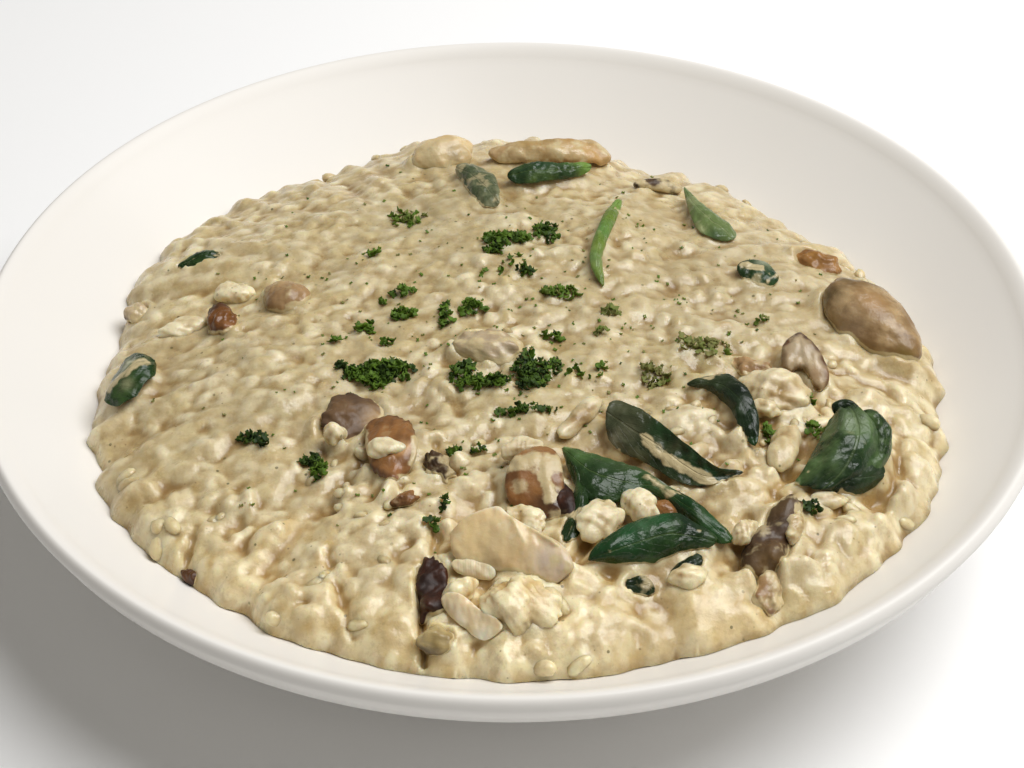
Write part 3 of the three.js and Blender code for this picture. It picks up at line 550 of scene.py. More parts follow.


# Coloured patches on the pieces, a few of them painted highlights and shade as noted: (x, y, radius, sRGB,
# share).
patches = {
    "mushroom_right_whole": [(72.7, 1.8, 3.2, (94, 76, 44), 0.95), (77.5, 5.9, 2.8, (104, 84, 48), 0.95),
        (83, 4.8, 2.8, (114, 94, 60), 0.9), (81.4, -3.6, 3.4, (172, 134, 84), 0.85),
        (74.8, -8.8, 4.6, (154, 130, 102), 0.8), (71.5, -16.1, 3, (122, 100, 68), 0.7),
        (77.2, -19.6, 3.6, (120, 96, 58), 0.75), (80.7, -22.5, 3, (154, 132, 94), 0.7),
        (87.1, -17, 2.4, (138, 122, 50), 0.9), (87.6, -23.1, 2.6, (122, 114, 34), 0.95),
        (83.4, -27.2, 2.6, (150, 102, 46), 0.9)],
    "mushroom_front_cap": [(-36.1, -39.8, 3, (118, 90, 60), 0.8), (-34, -45.9, 4, (100, 74, 48), 1),
        (-30.3, -51.4, 3, (108, 78, 50), 0.9), (-28, -41.3, 3.2, (188, 154, 106), 1.1)],
    # the small pale orange patch by the right edge is a painted highlight
    "mushroom_brown_stem": [(-25.5, -50.3, 3.4, (156, 108, 60), 0.9),
        (-21.9, -55.5, 1.3, (240, 198, 148), 0.95), (-22.9, -61.1, 2.5, (168, 114, 66), 0.8),
        (-25.6, -62.5, 3, (134, 96, 66), 0.85)],
    # the grey-mauve patch is a painted highlight; the dark purple-brown one at the lower right is partly
    # painted shade
    "mushroom_middle_chunk": [(5.2, -57.3, 4, (158, 116, 72), 0.85),
        (1.2, -69.5, 3.4, (158, 108, 58), 0.9), (3.2, -63, 3, (152, 104, 62), 0.8),
        (6.7, -65.7, 2.6, (140, 112, 88), 0.75), (8.9, -72, 4.6, (66, 42, 30), 0.95),
        (2, -55.4, 2.6, (200, 172, 128), 0.85)],
    "mushroom_front_slice": [(-8.1, -80.8, 6, (226, 198, 142), 0.7),
        (0.6, -86.4, 5, (206, 176, 126), 0.8), (6.3, -87.2, 4, (208, 190, 172), 0.9),
        (9.5, -88.6, 4, (204, 186, 168), 0.9), (-2.3, -74.5, 2.5, (238, 216, 168), 0.7)],
    "mushroom_right_slice": [(58.6, -22.4, 1.3, (118, 88, 58), 1.2),
        (59.6, -18.6, 1.5, (96, 66, 42), 1.5), (61.4, -16.2, 1.6, (86, 58, 36), 1.6),
        (63.4, -15.4, 1.7, (80, 52, 34), 1.6), (65.2, -17.4, 1.7, (78, 50, 32), 1.6),
        (66.7, -20.4, 1.7, (76, 48, 30), 1.6), (68.3, -24, 1.7, (86, 54, 32), 1.6),
        (68.9, -27.6, 1.7, (112, 72, 40), 1.4), (63, -21.8, 2.6, (186, 168, 140), 1.1),
        (65, -27.8, 2, (176, 148, 114), 1)],
    "mushroom_right_chunk": [(53.6, -69.6, 4, (90, 70, 44), 1), (49.7, -75.3, 4, (84, 66, 52), 1),
        (49.4, -84.5, 4, (112, 86, 50), 1)],
    "mushroom_left_bit": [(-66.9, -2.6, 2.2, (116, 72, 32), 0.95),
        (-63.6, -4.6, 1.8, (158, 110, 68), 0.85), (-65, -9.5, 2.2, (80, 50, 24), 0.95),
        (-61.7, -13.9, 1.8, (176, 144, 98), 0.8)],
    "mushroom_left_cap": [(-51.3, 4.3, 3.2, (150, 120, 82), 0.9), (-48.1, -0.4, 3, (170, 140, 98), 0.8),
        (-53.4, 7, 2.5, (190, 164, 118), 0.8)],
    "mushroom_back_cap": [(-26.7, 67.5, 3, (178, 150, 96), 0.8), (-21, 68.1, 4, (200, 184, 144), 0.85),
        (-14.4, 68.3, 3, (150, 134, 104), 0.8)],
    "mushroom_back_slice": [(-3.6, 68.2, 4, (186, 154, 112), 0.7), (4.1, 71, 4, (176, 146, 90), 0.8),
        (15, 72.1, 4.4, (178, 138, 80), 0.9), (21, 67.2, 4, (194, 154, 96), 0.9),
        (0.8, 63, 4, (204, 186, 146), 0.85)],
    "mushroom_right_back": [(71.1, 19.6, 3, (176, 134, 74), 0.9)],
    "mushroom_centre_cap": [(-8.3, -21.5, 3.5, (190, 172, 138), 0.8),
        (-4.4, -20.5, 4, (178, 158, 130), 0.9), (-0.9, -23.1, 1.4, (236, 226, 204), 0.9)],
    # the near-white patches along the front edge are painted highlights
    "mushroom_pale_slice": [(-11.2, -97, 3, (228, 210, 178), 0.8),
        (-5.6, -97.5, 3, (214, 194, 162), 0.7), (-5.6, -102, 2, (250, 242, 222), 1),
        (-10, -98.6, 1.6, (250, 242, 222), 0.9)],
    "mushroom_pale_strip": [(-8, -85.6, 3, (240, 226, 194), 0.8), (-4, -87.4, 2, (248, 238, 212), 0.9)],
    "spinach_big": [(20.8, -43.8, 5, (74, 78, 54), 0.9), (23.7, -49.1, 3.6, (96, 96, 72), 0.8),
        (20.9, -50.3, 2, (134, 130, 106), 0.8), (26.5, -45.5, 4, (62, 70, 42), 0.85),
        (31.4, -50.7, 4, (32, 60, 28), 0.95), (36, -57.8, 4, (24, 54, 22), 0.95),
        (40.1, -61.4, 3, (26, 62, 26), 0.95)],
    # the near-white patch on the cream film is a painted highlight
    "spinach_fork": [(11.2, -55.3, 2.2, (120, 148, 82), 0.95), (14.4, -58.3, 3.6, (78, 108, 56), 0.85),
        (17.6, -63.9, 4, (34, 58, 28), 0.9), (23.8, -60.7, 4.4, (74, 94, 56), 0.85),
        (25.9, -65.3, 4, (36, 68, 28), 0.9), (28.9, -62.5, 1.8, (160, 164, 140), 0.85),
        (30.4, -65, 1.3, (214, 218, 206), 0.9), (35.2, -70.6, 4, (18, 56, 22), 0.95),
        (39.8, -75, 3.4, (24, 72, 30), 0.95), (43.6, -78.8, 2, (36, 88, 34), 0.95)],
    "spinach_low": [(16.9, -83.8, 3, (20, 62, 28), 0.95), (22, -81.6, 3.4, (28, 76, 38), 0.95),
        (25, -79.5, 2.4, (76, 114, 80), 0.7), (28.3, -76.7, 3.6, (32, 80, 42), 0.95),
        (34.8, -76.6, 4.2, (10, 34, 18), 0.95)],
    # the darkest patches, by the top curl and on the lower panel, are painted shade; the light grey-green
    # ones are cream film with a painted sheen
    "spinach_right_fold": [(69.6, -42.4, 2.6, (22, 54, 22), 0.95),
        (73.4, -45.4, 2.8, (12, 38, 14), 0.95), (69.3, -51, 3.6, (104, 122, 84), 0.95),
        (70.9, -55.6, 3, (58, 86, 50), 0.85), (64.9, -59.4, 3, (64, 86, 52), 0.85),
        (68.4, -60.5, 4, (16, 40, 20), 0.95), (61.9, -64, 3.4, (12, 36, 16), 0.95),
        (76.4, -50.8, 3, (98, 122, 84), 0.95)],
    "spinach_arched": [(40.3, -33.6, 4, (62, 70, 42), 0.9), (44.5, -34.6, 4, (48, 60, 36), 0.9),
        (48.3, -38.9, 4, (20, 32, 20), 0.95), (50.6, -45.4, 3, (18, 40, 20), 0.95),
        (49.8, -51.9, 2, (28, 68, 28), 0.95)],
    "spinach_back_dark": [(2.5, 53.6, 3, (28, 56, 32), 0.95), (8.3, 56, 4, (36, 66, 38), 0.95),
        (13.4, 59, 2.6, (84, 122, 56), 0.95), (17.7, 60.3, 3.4, (120, 156, 66), 0.95)],
    "spinach_stem": [(25.8, 38.9, 3.4, (126, 162, 76), 0.95), (21.7, 23.7, 4, (98, 136, 66), 0.95),
        (19.6, 11.1, 4, (108, 134, 76), 0.9)],
    "spinach_pointed": [(44.8, 54.2, 3, (124, 148, 90), 0.95), (46.5, 41.8, 4, (104, 122, 74), 0.9),
        (49.1, 30.2, 3, (62, 84, 50), 0.9)],
    "spinach_small": [(58.6, 15.7, 2, (156, 162, 136), 0.85), (60.6, 12.2, 2, (36, 66, 46), 0.95),
        (56.1, 18.1, 2.4, (48, 72, 40), 0.95)],
    "spinach_left_roll": [(-84.5, -18.5, 1.6, (196, 196, 162), 0.9),
        (-84.3, -25.1, 1.6, (150, 152, 112), 0.85), (-81, -20.5, 2.4, (22, 56, 20), 0.95),
        (-86.1, -23.7, 2, (24, 48, 20), 0.95)],
}


def curveAt(points, share):  # a smooth line through points, share runs from 0 to 1
    points = np.concatenate([[2 * points[0] - points[1]], points, [2 * points[-1] - points[-2]]])
    steps = np.clip(share, 0, 1) * (len(points) - 3)
    index = np.minimum(steps.astype(int), len(points) - 4)
    around = [points[index + step] for step in range(4)]
    return smoothCurve(*around, (steps - index)[:, None])


def edgePoints(stations):
    stations = np.array(stations, float)
    stations[:, 2] += heapHeight(stations[:, 0], stations[:, 1])
    return stations


def loft(sheet, along, across):  # points on a sheet and the way up from it
    front, back = [curveAt(edgePoints(sheet[edge]), along) for edge in ("front", "back")]
    ahead, behind = [
        sum(curveAt(edgePoints(sheet[edge]), along + step) for edge in ("front", "back"))
        for step in (0.01, -0.01)
    ]
    side = back - front
    up = np.cross(ahead - behind, side)
    up *= np.sign(up[:, 2:] + 1e-9) / np.linalg.norm(up, axis=1, keepdims=True)
    arch = np.interp(along, np.linspace(0, 1, len(sheet["bulge"])), sheet["bulge"])
    points = front + side * (across[:, None] + 1) / 2 + up * (arch * (1 - across ** 2))[:, None]
    return points, up


roughWaves = {"octaves": 3, "each": 5, "finer": 1.8, "weaker": 1.6, "height": 0.24}


def unevenness(points, seed, size):  # smooth random pushes for each point, from a few waves
    draw = np.random.default_rng(seed)
    push = np.zeros(len(points))
    for octave, _ in itertools.product(range(roughWaves["octaves"]), range(roughWaves["each"])):
        wave = draw.normal(size=3) * 2 / size * roughWaves["finer"] ** octave
        height = roughWaves["height"] / roughWaves["weaker"] ** octave
        push += np.sin(points @ wave + draw.uniform(0, 6.28)) * height
    return push


def capFootprint(cap, x, y):  # 1 at the edge of a cap's outline seen from above, less inside
    yaw = math.radians(cap["turn"][2])
    acrossX, acrossY = x - cap["at"][0], y - cap["at"][1]
    along = acrossX * math.cos(yaw) + acrossY * math.sin(yaw)
    across = acrossY * math.cos(yaw) - acrossX * math.sin(yaw)
    return np.hypot(along / (cap["size"][0] / 2), across / (cap["size"][1] / 2))


# the rice and its cream, worked out on a fine raster before it becomes a mesh

rice = {
    "reach": 110, "cell": 0.4, "seed": 11, "meshCells": 385,
    "nowhere": -3.0,  # a layer's level where nothing lies
    "grains": {"spacing": 2.9, "size": (5.8, 3.4, 3.2), "rise": (-0.7, 1.5), "rounds": 3},
    "bits": {"spacing": 2.2, "size": (2.8, 2.0, 1.4), "rise": (-1.0, 0.5), "rounds": 1},  # broken grains
    "clots": {"spacing": 6.5, "size": (13, 9, 7), "rise": (-1.8, 1.7), "rounds": 2},  # stuck together
    "blunt": (2.3, 2.1),  # how square a grain's outline is, along and across
    "scatter": {"jitter": 0.6, "shoreGap": 0.6, "sunken": 1.2, "roundDrop": 0.4,
                "scale": (0.7, 0.5), "tilt": 1.8},
    "standing": {"sunk": 0.7, "tone": 0.8, "blend": 0.5},
    "swells": [(8, 0.5), (4.2, 0.42), (2.0, 0.16)], "swellSeed": 20,  # (width, height) of soft waves
    "clotLift": 0.6,  # how much higher the clots lie than between them
    "usualCover": 0.6, "coverRange": (0.05, 0.95),
    "clouds": {  # (seed, size, height) of the soft blobs that vary each of these
        "cover": (3, 5, 0.11), "clots": (4, 9, 0.12), "seen": (41, 3.5, 0.12), "lap": (31, 2.4, 1.2),
    },
    "blur": {"grains": 0.28, "bits": 0.3, "clots": 0.7, "standing": 0.45, "relief": 0.2, "tone": 0.45,
             "shows": 0.2},
    "sauceDepth": (-0.6, 1.7),  # the sauce's level where there is none, and what full cover adds
    "wetting": (0.12, 0.5),  # width of the fillet where sauce meets grain, bare and covered
    "follow": {"sauce": 0.8, "grains": 0.95, "bits": 0.4},  # how far each rises with what is under it
    "deepest": {"bits": -1.0, "clots": -2.5},
    "settled": (0.95, 0.9),  # the share of the relief that is left by the sauce, then by softening
    "shoreFade": (3.2, 0.7),  # the relief grows over this distance from the shore, by this power
    "shows": {  # how clearly a grain shows in the cream
        "sizes": (0.25, 1.8), "usual": 0.52, "bare": 1.25, "proud": (1.3, -0.6), "shares": (0.3, 0.7),
        "standing": (4, 0.6),
    },
    "hollows": [(1.1, 1.2), (3.5, 0.5)],  # (width, share) of the dips that get pooled sauce and painted shade
    "soften": (0.5, 0.35, 1.0, 0.62),  # from this cover, over this span: blur and the most it takes
    "undersideRings": (0.97, 0.88, 0.76, 0.62, 0.5),
}
capsInRice = {  # distances are shares of a cap's outline
    "lap": (1.03, 0.22), "lapUsual": 1.1, "lapLimit": 3.0,  # the ring of cream round a cap
    "lapHeight": (0.85, 0.12),  # the most, and the share of the cap's height
    "sunkenLap": 0.5,
    "bed": (0.9, 0.4, 0.6),  # the rice is flat from here inwards, over this span, and this much lower
    "covered": (1.15, 0.15), "edge": (0.98, 0.2), "dome": 0.55,
}
sheetsInRice = {"samples": (150, 90), "inner": 0.8, "gap": 0.2, "raised": 0.55, "blur": 1.0, "free": 99.0,
                "edgeBlur": 0.6}
# How thick the cream lies: (x, y, radius, share), added to the usual share.
creamPatches = [
    (-66, 2, 34, 0.14), (-56, -36, 24, 0.08), (-20, 48, 42, 0.16), (42, 22, 32, 0.1), (62, 24, 22, 0.2),
    (34, -100, 12, 0.4), (-24, -68, 15, -0.3), (6, -70, 18, -0.25), (-4, -96, 16, -0.3),
    (-34, -46, 9, -0.25), (40, -48, 18, -0.3), (74, -62, 20, -0.4), (90, -44, 14, -0.3),
    (50, -84, 12, -0.2), (18, 5, 20, -0.06), (46, -8, 16, -0.06), (-4, -16, 12, -0.1),
    (-60, -72, 16, -0.12), (54, -30, 12, -0.25),
]
# Where the rice sticks together in clots.
clotPatches = [
    (-20, -76, 26, 0.7), (6, -88, 24, 0.9), (74, -62, 28, 1), (40, -50, 24, 0.8), (90, -40, 20, 0.8),
    (50, -84, 18, 0.6), (-60, -66, 22, 0.5), (20, -10, 26, 0.45), (46, 6, 22, 0.45), (-30, -40, 18, 0.4),
    (-2, -48, 18, 0.5), (26, 44, 20, 0.3), (-84, -30, 18, 0.4), (54, -30, 12, 0.6),
]
# Clots and grains that stand out: (x, y, top over the heap, length, width, yaw).
standing = [
    (-36.8, -47.4, 3.4, 5, 4.4, 90), (-31.2, -57, 2.8, 7, 5, 80), (-34.1, -62.2, 2.4, 7, 4, 85),
    (-24.8, -64.6, 3, 7, 5, 80), (-24.5, -72.6, 2.4, 7.5, 4.5, 85), (-18.5, -74.1, 2.8, 7, 6, 20),
    (-12.6, -74, 2.8, 6, 4.5, 80), (-16.5, -68.5, 2.2, 5, 3.6, 10), (-16.4, -63.5, 1.8, 5, 3.5, 0),
    (-19.3, -80.1, 2.2, 6.5, 4.5, 30), (-8.4, -62.8, 3.2, 6.5, 6, 70), (-11.7, -53.9, 2.4, 7, 4.5, 60),
    (-2.5, -48.9, 2.2, 8, 5, 50), (37.1, -42.7, 4.6, 12, 11, 45), (46.6, -48.8, 4, 7, 6.4, 30),
    (44.8, -57.1, 3.8, 5.6, 5, 0), (57.6, -36.6, 5.6, 14, 12, -20), (0.6, -93, 5.6, 14, 11, 10),
    (60.8, -66.4, 2.6, 13, 4.5, 8), (-1.7, 33, 3.2, 14, 9, 0), (-63.6, 12.3, 2, 5, 4, 0),
    (-70.9, 5.6, 1.8, 4, 3, 0), (-59.6, -7.9, 1.8, 4, 3, 0), (-78.1, -3.5, 1.6, 8, 3.4, 20),
    (-76.8, 4.1, 1.4, 6, 3, 30), (79.9, -60.2, 3.2, 12, 5.5, 60), (74.7, -68.2, 3, 10, 6, 50),
    (62.2, -79.2, 2.8, 10, 5, 75), (55.9, -83.2, 2.4, 7, 5, 60), (85.7, -25.2, 2.2, 9, 6, -50),
    (76.6, -32.5, 3, 11, 9, -30), (36.6, -81.5, 2.8, 8, 6, 60), (43, -86.2, 2.4, 8, 6, 20),
    (39.9, -89.5, 1.8, 6, 5, 40), (88, -38, 2, 8, 5, 60), (86, -50, 2.4, 9, 5, 70),
    (13, -97, 2.2, 9, 6, -20), (-8, -104, 1.6, 8, 5, 0), (-27, -90, 2, 8, 6, 30),
    (-48.3, -71.6, 1.8, 11, 7, 30), (-35.7, -78.9, 1.8, 10, 7, 60), (-56.4, -61.2, 1.6, 9, 7, 0),
    (30, -54.5, 2.8, 6, 4, 20), (52, -58, 2.6, 9, 6, 10), (-17.3, 1.2, 1.6, 6, 4, 20),
]
# Dark seams between clots: (from, to, depth, width).
seams = [
    ((-18, -84), (-16.3, -104), 3.2, 1.3), ((-14.5, -76), (-17, -84), 2.6, 2),
    ((-64, -70), (-66, -78), 2.6, 1.8), ((16, -76), (12, -84), 2.4, 1.8),
    ((8, -64), (11, -72), 2.4, 2.2), ((47, -70), (44, -82), 2, 2), ((46, -27), (58, -37), 1.6, 2),
    ((-36, -78), (-30, -98), 1.4, 1.8), ((-56, -58), (-52, -80), 1.2, 2),
    ((-30, -52), (-36, -66), 1.4, 1.8), ((58, -50), (52, -66), 2.2, 2.2),
    ((-16, -49), (-12, -58), 2, 1.8), ((82, -42), (80, -54), 1.4, 1.6), ((66, -66), (58, -80), 1.2, 1.8),
]


def rasterAxes():
    count = int(2 * rice["reach"] / rice["cell"]) + 1
    axis = np.linspace(-rice["reach"], rice["reach"], count)
    return np.meshgrid(axis, axis)


rasterX, rasterY = rasterAxes()


def blurred(field, size):
    waves = np.fft.fftfreq(len(field), rice["cell"])
    share = np.exp(-2 * (np.pi * size * waves) ** 2)
    return np.real(np.fft.ifft2(np.fft.fft2(field) * np.outer(share, share)))


def clouds(seed, size):  # soft random blobs with a spread of one
    field = blurred(np.random.default_rng(seed).normal(size=rasterX.shape), size)
    return (field - field.mean()) / field.std()


def rasterPlace(x, y):
    column, row = [(np.asarray(value) + rice["reach"]) / rice["cell"] for value in (x, y)]
    return np.clip(column, 0, len(rasterX) - 1.001), np.clip(row, 0, len(rasterX) - 1.001)


def sampled(field, x, y):  # a raster's value between its points
    column, row = rasterPlace(x, y)
    left, low = column.astype(int), row.astype(int)
    acrossPart, upPart = column - left, row - low
    bottom = field[low, left] * (1 - acrossPart) + field[low, left + 1] * acrossPart
    top = field[low + 1, left] * (1 - acrossPart) + field[low + 1, left + 1] * acrossPart
    return bottom * (1 - upPart) + top * upPart


def seamDepth(x, y):
    depth = np.zeros_like(x)
    for start, end, deep, width in seams:
        run = np.array(end) - start
        share = np.clip(((x - start[0]) * run[0] + (y - start[1]) * run[1]) / (run @ run), 0, 1)
        away = np.hypot(x - start[0] - share * run[0], y - start[1] - share * run[1])
        depth = np.maximum(depth, deep * np.exp(-(away / width) ** 2 * 2))
    return depth


def patchwork(spots, x, y):  # the sum of soft round spots
    total = np.zeros_like(x)
    for centreX, centreY, radius, share in spots:
        total = total + share * softSpot(x, y, centreX, centreY, radius)
    return total


def stampGrain(layer, tones, size, x, y, top, yaw, tilt, tone):
    length, width, tall = size
    half = int(length / 2 / rice["cell"]) + 1
    column, row = [int((value + rice["reach"]) / rice["cell"]) for value in (x, y)]
    window = (slice(max(row - half, 0), row + half + 1), slice(max(column - half, 0), column + half + 1))
    deltaX, deltaY = rasterX[window] - x, rasterY[window] - y
    along = (deltaX * math.cos(yaw) + deltaY * math.sin(yaw)) / (length / 2)
    across = (deltaY * math.cos(yaw) - deltaX * math.sin(yaw)) / (width / 2)
    inside = 1 - np.abs(along) ** rice["blunt"][0] - np.abs(across) ** rice["blunt"][1]
    height = top - tall / 2 + tilt * along + tall / 2 * np.maximum(inside, 0) ** 0.5
    higher = (inside > 0) & (height > layer[window])
    layer[window][higher] = height[higher]
    tones[window][higher] = tone


def scatterGrains(kind, seed):  # the height of the highest one at each point, and its tone
    layer, tones = np.full_like(rasterX, rice["nowhere"]), np.full_like(rasterX, 0.5)
    draw = np.random.default_rng(seed)
    scatter = rice["scatter"]
    low, high = kind["rise"]
    smallest, growth = scatter["scale"]
    steps = np.arange(-rice["reach"], rice["reach"], kind["spacing"])
    for depth, evenX, evenY in itertools.product(range(kind["rounds"]), steps, steps):
        jitter = draw.uniform(-scatter["jitter"], scatter["jitter"], 2) * kind["spacing"]
        x, y = np.array([evenX, evenY]) + jitter
        share, yaw, tilt, scale, tone = draw.uniform(size=5)
        if shoreDistance(x, y) < scatter["shoreGap"]:
            continue
        top = low + (high - low) * share ** scatter["sunken"] - depth * scatter["roundDrop"]
        scaled = np.array(kind["size"]) * (smallest + growth * scale)
        stampGrain(layer, tones, scaled, x, y, top, yaw * np.pi, (tilt - 0.5) * scatter["tilt"], tone)
    return layer, tones


def toppingBeds(base):  # how far the sheets raise the rice under them, and how far up it may come
    raised, ceiling = np.zeros_like(base), np.full_like(base, sheetsInRice["free"])
    countAlong, countAcross = sheetsInRice["samples"]
    spread = np.meshgrid(np.linspace(0, 1, countAlong), np.linspace(-1, 1, countAcross))
    along, across = [values.ravel() for values in spread]
    inner = np.abs(across) < sheetsInRice["inner"]
    for sheet in allSheets.values():
        points, _ = loft(sheet, along, across * np.minimum(1, 4 * np.sin(np.pi * along)))
        column, row = [np.round(values).astype(int) for values in rasterPlace(points[:, 0], points[:, 1])]
        under = points[inner, 2] - sheet.get("thick", sheetMesh["thick"]) / 2 - sheetsInRice["gap"]
        np.minimum.at(ceiling, (row[inner], column[inner]), under)
        highest = np.zeros_like(base)
        np.maximum.at(highest, (row, column), points[:, 2])
        lifted = sheetsInRice["raised"] * (highest - base)
        raised = np.maximum(raised, np.where(highest > 0, lifted, 0))
    return blurred(np.maximum(raised, 0), sheetsInRice["blur"]), ceiling


def cloudy(kind):
    seed, size, height = rice["clouds"][kind]
    return height * clouds(seed, size)


def creamCover():  # how thick the cream lies, as a share
    cover = rice["usualCover"] + patchwork(creamPatches, rasterX, rasterY) + cloudy("cover")
    return np.clip(cover, *rice["coverRange"])


def standingClots(tones):  # the height of what stands out; its tone is written too
    layer = np.full_like(rasterX, rice["nowhere"])
    placing = rice["standing"]
    for x, y, top, length, width, yaw in standing:
        size = length, width, 2 * top + 1
        stampGrain(layer, tones, size, x, y, top - placing["sunk"], math.radians(yaw), 0, placing["tone"])
    return blurred(layer, rice["blur"]["standing"])


def softGround(tall):  # what the grains lie on: waves, clots and what stands out
    clotted = np.clip(patchwork(clotPatches, rasterX, rasterY) + cloudy("clots"), 0, 1)
    clots, _ = scatterGrains(rice["clots"], rice["seed"] + 2)
    swells = enumerate(rice["swells"], rice["swellSeed"])
    waves = sum(clouds(seed, width) * height for seed, (width, height) in swells)
    clots = np.maximum(blurred(clots, rice["blur"]["clots"]), rice["deepest"]["clots"])
    ground = waves + clotted * (clots + rice["clotLift"])
    blend = rice["standing"]["blend"]
    return ground + blend * np.logaddexp(0, (tall - ground) / blend)


def softened(relief, cover):  # thick cream rounds off what lies in it
    start, span, blur, most = rice["soften"]
    soft = np.clip((cover - start) / span, 0, 1) * most
    return rice["settled"][1] * (relief + (blurred(relief, blur) - relief) * soft)


def lappedCaps(relief):  # a ring of cream round each cap, and a flat bed under it
    ring, width = capsInRice["lap"]
    most, share = capsInRice["lapHeight"]
    flat, span, sunk = capsInRice["bed"]
    lapping = np.clip(capsInRice["lapUsual"] + cloudy("lap"), 0, capsInRice["lapLimit"])
    for cap in allCaps.values():
        away = capFootprint(cap, rasterX, rasterY)
        lap = min(most, share * cap["size"][2]) * (1 if cap["lift"] >= 0 else capsInRice["sunkenLap"])
        relief = relief + lap * lapping * np.exp(-((away - ring) / width) ** 2)
        under = np.clip((flat - away) / span, 0, 1)
        relief = relief * (1 - under) - sunk * under
    return relief


def capMarks(base):  # where the caps cover the rice, where their edges are, and their tops
    covered, edges, top = np.zeros_like(base), np.zeros_like(base), np.full_like(base, -1.0)
    reach, fade = capsInRice["covered"]
    middle, width = capsInRice["edge"]
    for cap in allCaps.values():
        away = capFootprint(cap, rasterX, rasterY)
        covered = np.maximum(covered, np.clip((reach - away) / fade, 0, 1))
        edges = np.maximum(edges, np.clip(1 - np.abs(away - middle) / width, 0, 1))
        dome = cap["size"][2] * capsInRice["dome"] * np.sqrt(np.clip(1 - away ** 2, 0, 1))
        height = float(heapHeight(*cap["at"])) + cap["lift"] + dome
        top = np.where(away < 1, np.maximum(top, height), top)
    return covered, edges, top


def grainShows(grains, cover, stands, tall):
    look = rice["shows"]
    fine, coarse = [blurred(grains, size) for size in look["sizes"]]
    seen = np.clip(look["usual"] + (look["bare"] - cover) * (fine - coarse) + cloudy("seen"), 0, 1)
    steep, offset = look["proud"]
    proud = 1 / (1 + np.exp(-np.clip(stands * steep + offset, -30, 30)))
    proudShare, seenShare = look["shares"]
    height, most = look["standing"]
    shows = np.maximum(proudShare * proud + seenShare * seen, np.clip(tall / height, 0, most))
    return blurred(shows, rice["blur"]["shows"])


def riceFields():
    blur, follow = rice["blur"], rice["follow"]
    base = heapHeight(rasterX, rasterY)
    raised, ceiling = toppingBeds(base)
    cover = creamCover()
    grains, tones = scatterGrains(rice["grains"], rice["seed"])
    bits, _ = scatterGrains(rice["bits"], rice["seed"] + 1)
    tall = standingClots(tones)
    ground = softGround(tall)
    bits = np.maximum(blurred(bits, blur["bits"]), rice["deepest"]["bits"])
    low, more = rice["sauceDepth"]
    sauce = low + more * cover + follow["sauce"] * ground + bits * follow["bits"]
    thin, thick = rice["wetting"]
    fillet = thin + (thick - thin) * cover
    stands = (blurred(grains, blur["grains"]) + follow["grains"] * ground - sauce) / fillet
    relief = blurred(sauce + fillet * np.logaddexp(0, stands), blur["relief"])
    relief = lappedCaps(softened(rice["settled"][0] * relief, cover))
    distance = shoreDistance(rasterX, rasterY)
    span, power = rice["shoreFade"]
    fade = np.clip(distance / span, 0, 1) ** power
    relief = (relief - seamDepth(rasterX, rasterY) + raised) * fade
    height = np.where(distance < 0, base, np.minimum(base + relief, ceiling))
    underSheets = blurred((ceiling < sheetsInRice["free"]).astype(float), sheetsInRice["edgeBlur"])
    covered, edges, top = capMarks(base)
    return {
        "height": height, "cover": cover, "covered": np.maximum(underSheets, covered),
        "edges": edges, "top": top, "grain": grainShows(grains, cover, stands, tall),
        "tone": blurred(tones, blur["tone"]),
        "hollow": sum((blurred(height, width) - height) * share for width, share in rice["hollows"]),
    }


fields = riceFields()
print("rice fields worked out")


def surfaceHeight(x, y):
    return sampled(fields["height"], x, y)


tints = {  # where the cream is more yellow and lighter (partly painted light, mostly at the front), greyer or greener: (x, y, radius, share)
    "warm": [(4, -98, 26, 1), (-48, -84, 26, 0.9), (72, -68, 26, 0.4), (60, -30, 14, 0.45),
        (88, -40, 20, 0.1), (-70, 6, 12, 0.4), (15, 62, 30, 0.15), (80, 20, 24, 0.2),
        (-88, -40, 22, 0.3), (40, -96, 18, 0.5)],
    "grey": [(45, 5, 34, 0.6), (62, 24, 22, 0.5), (52, -14, 16, 0.3), (-8, 45, 26, 0.4),
        (-50, -30, 22, 0.2), (-20, -38, 14, 0.3), (14, -60, 14, 0.3)],
    "green": [(-2, 22, 16, 0.35), (42, -20, 10, 0.75), (31, -28, 6, 0.7), (-25, 38, 9, 0.4),
        (11, 1, 7, 0.4), (0, -30, 13, 0.3), (-52, -38, 7, 0.35), (-8, 50, 10, 0.5), (22, -84, 8, 0.35)],
}


def tintAt(name, x, y):
    return np.clip(patchwork(tints[name], x, y), 0, 1)


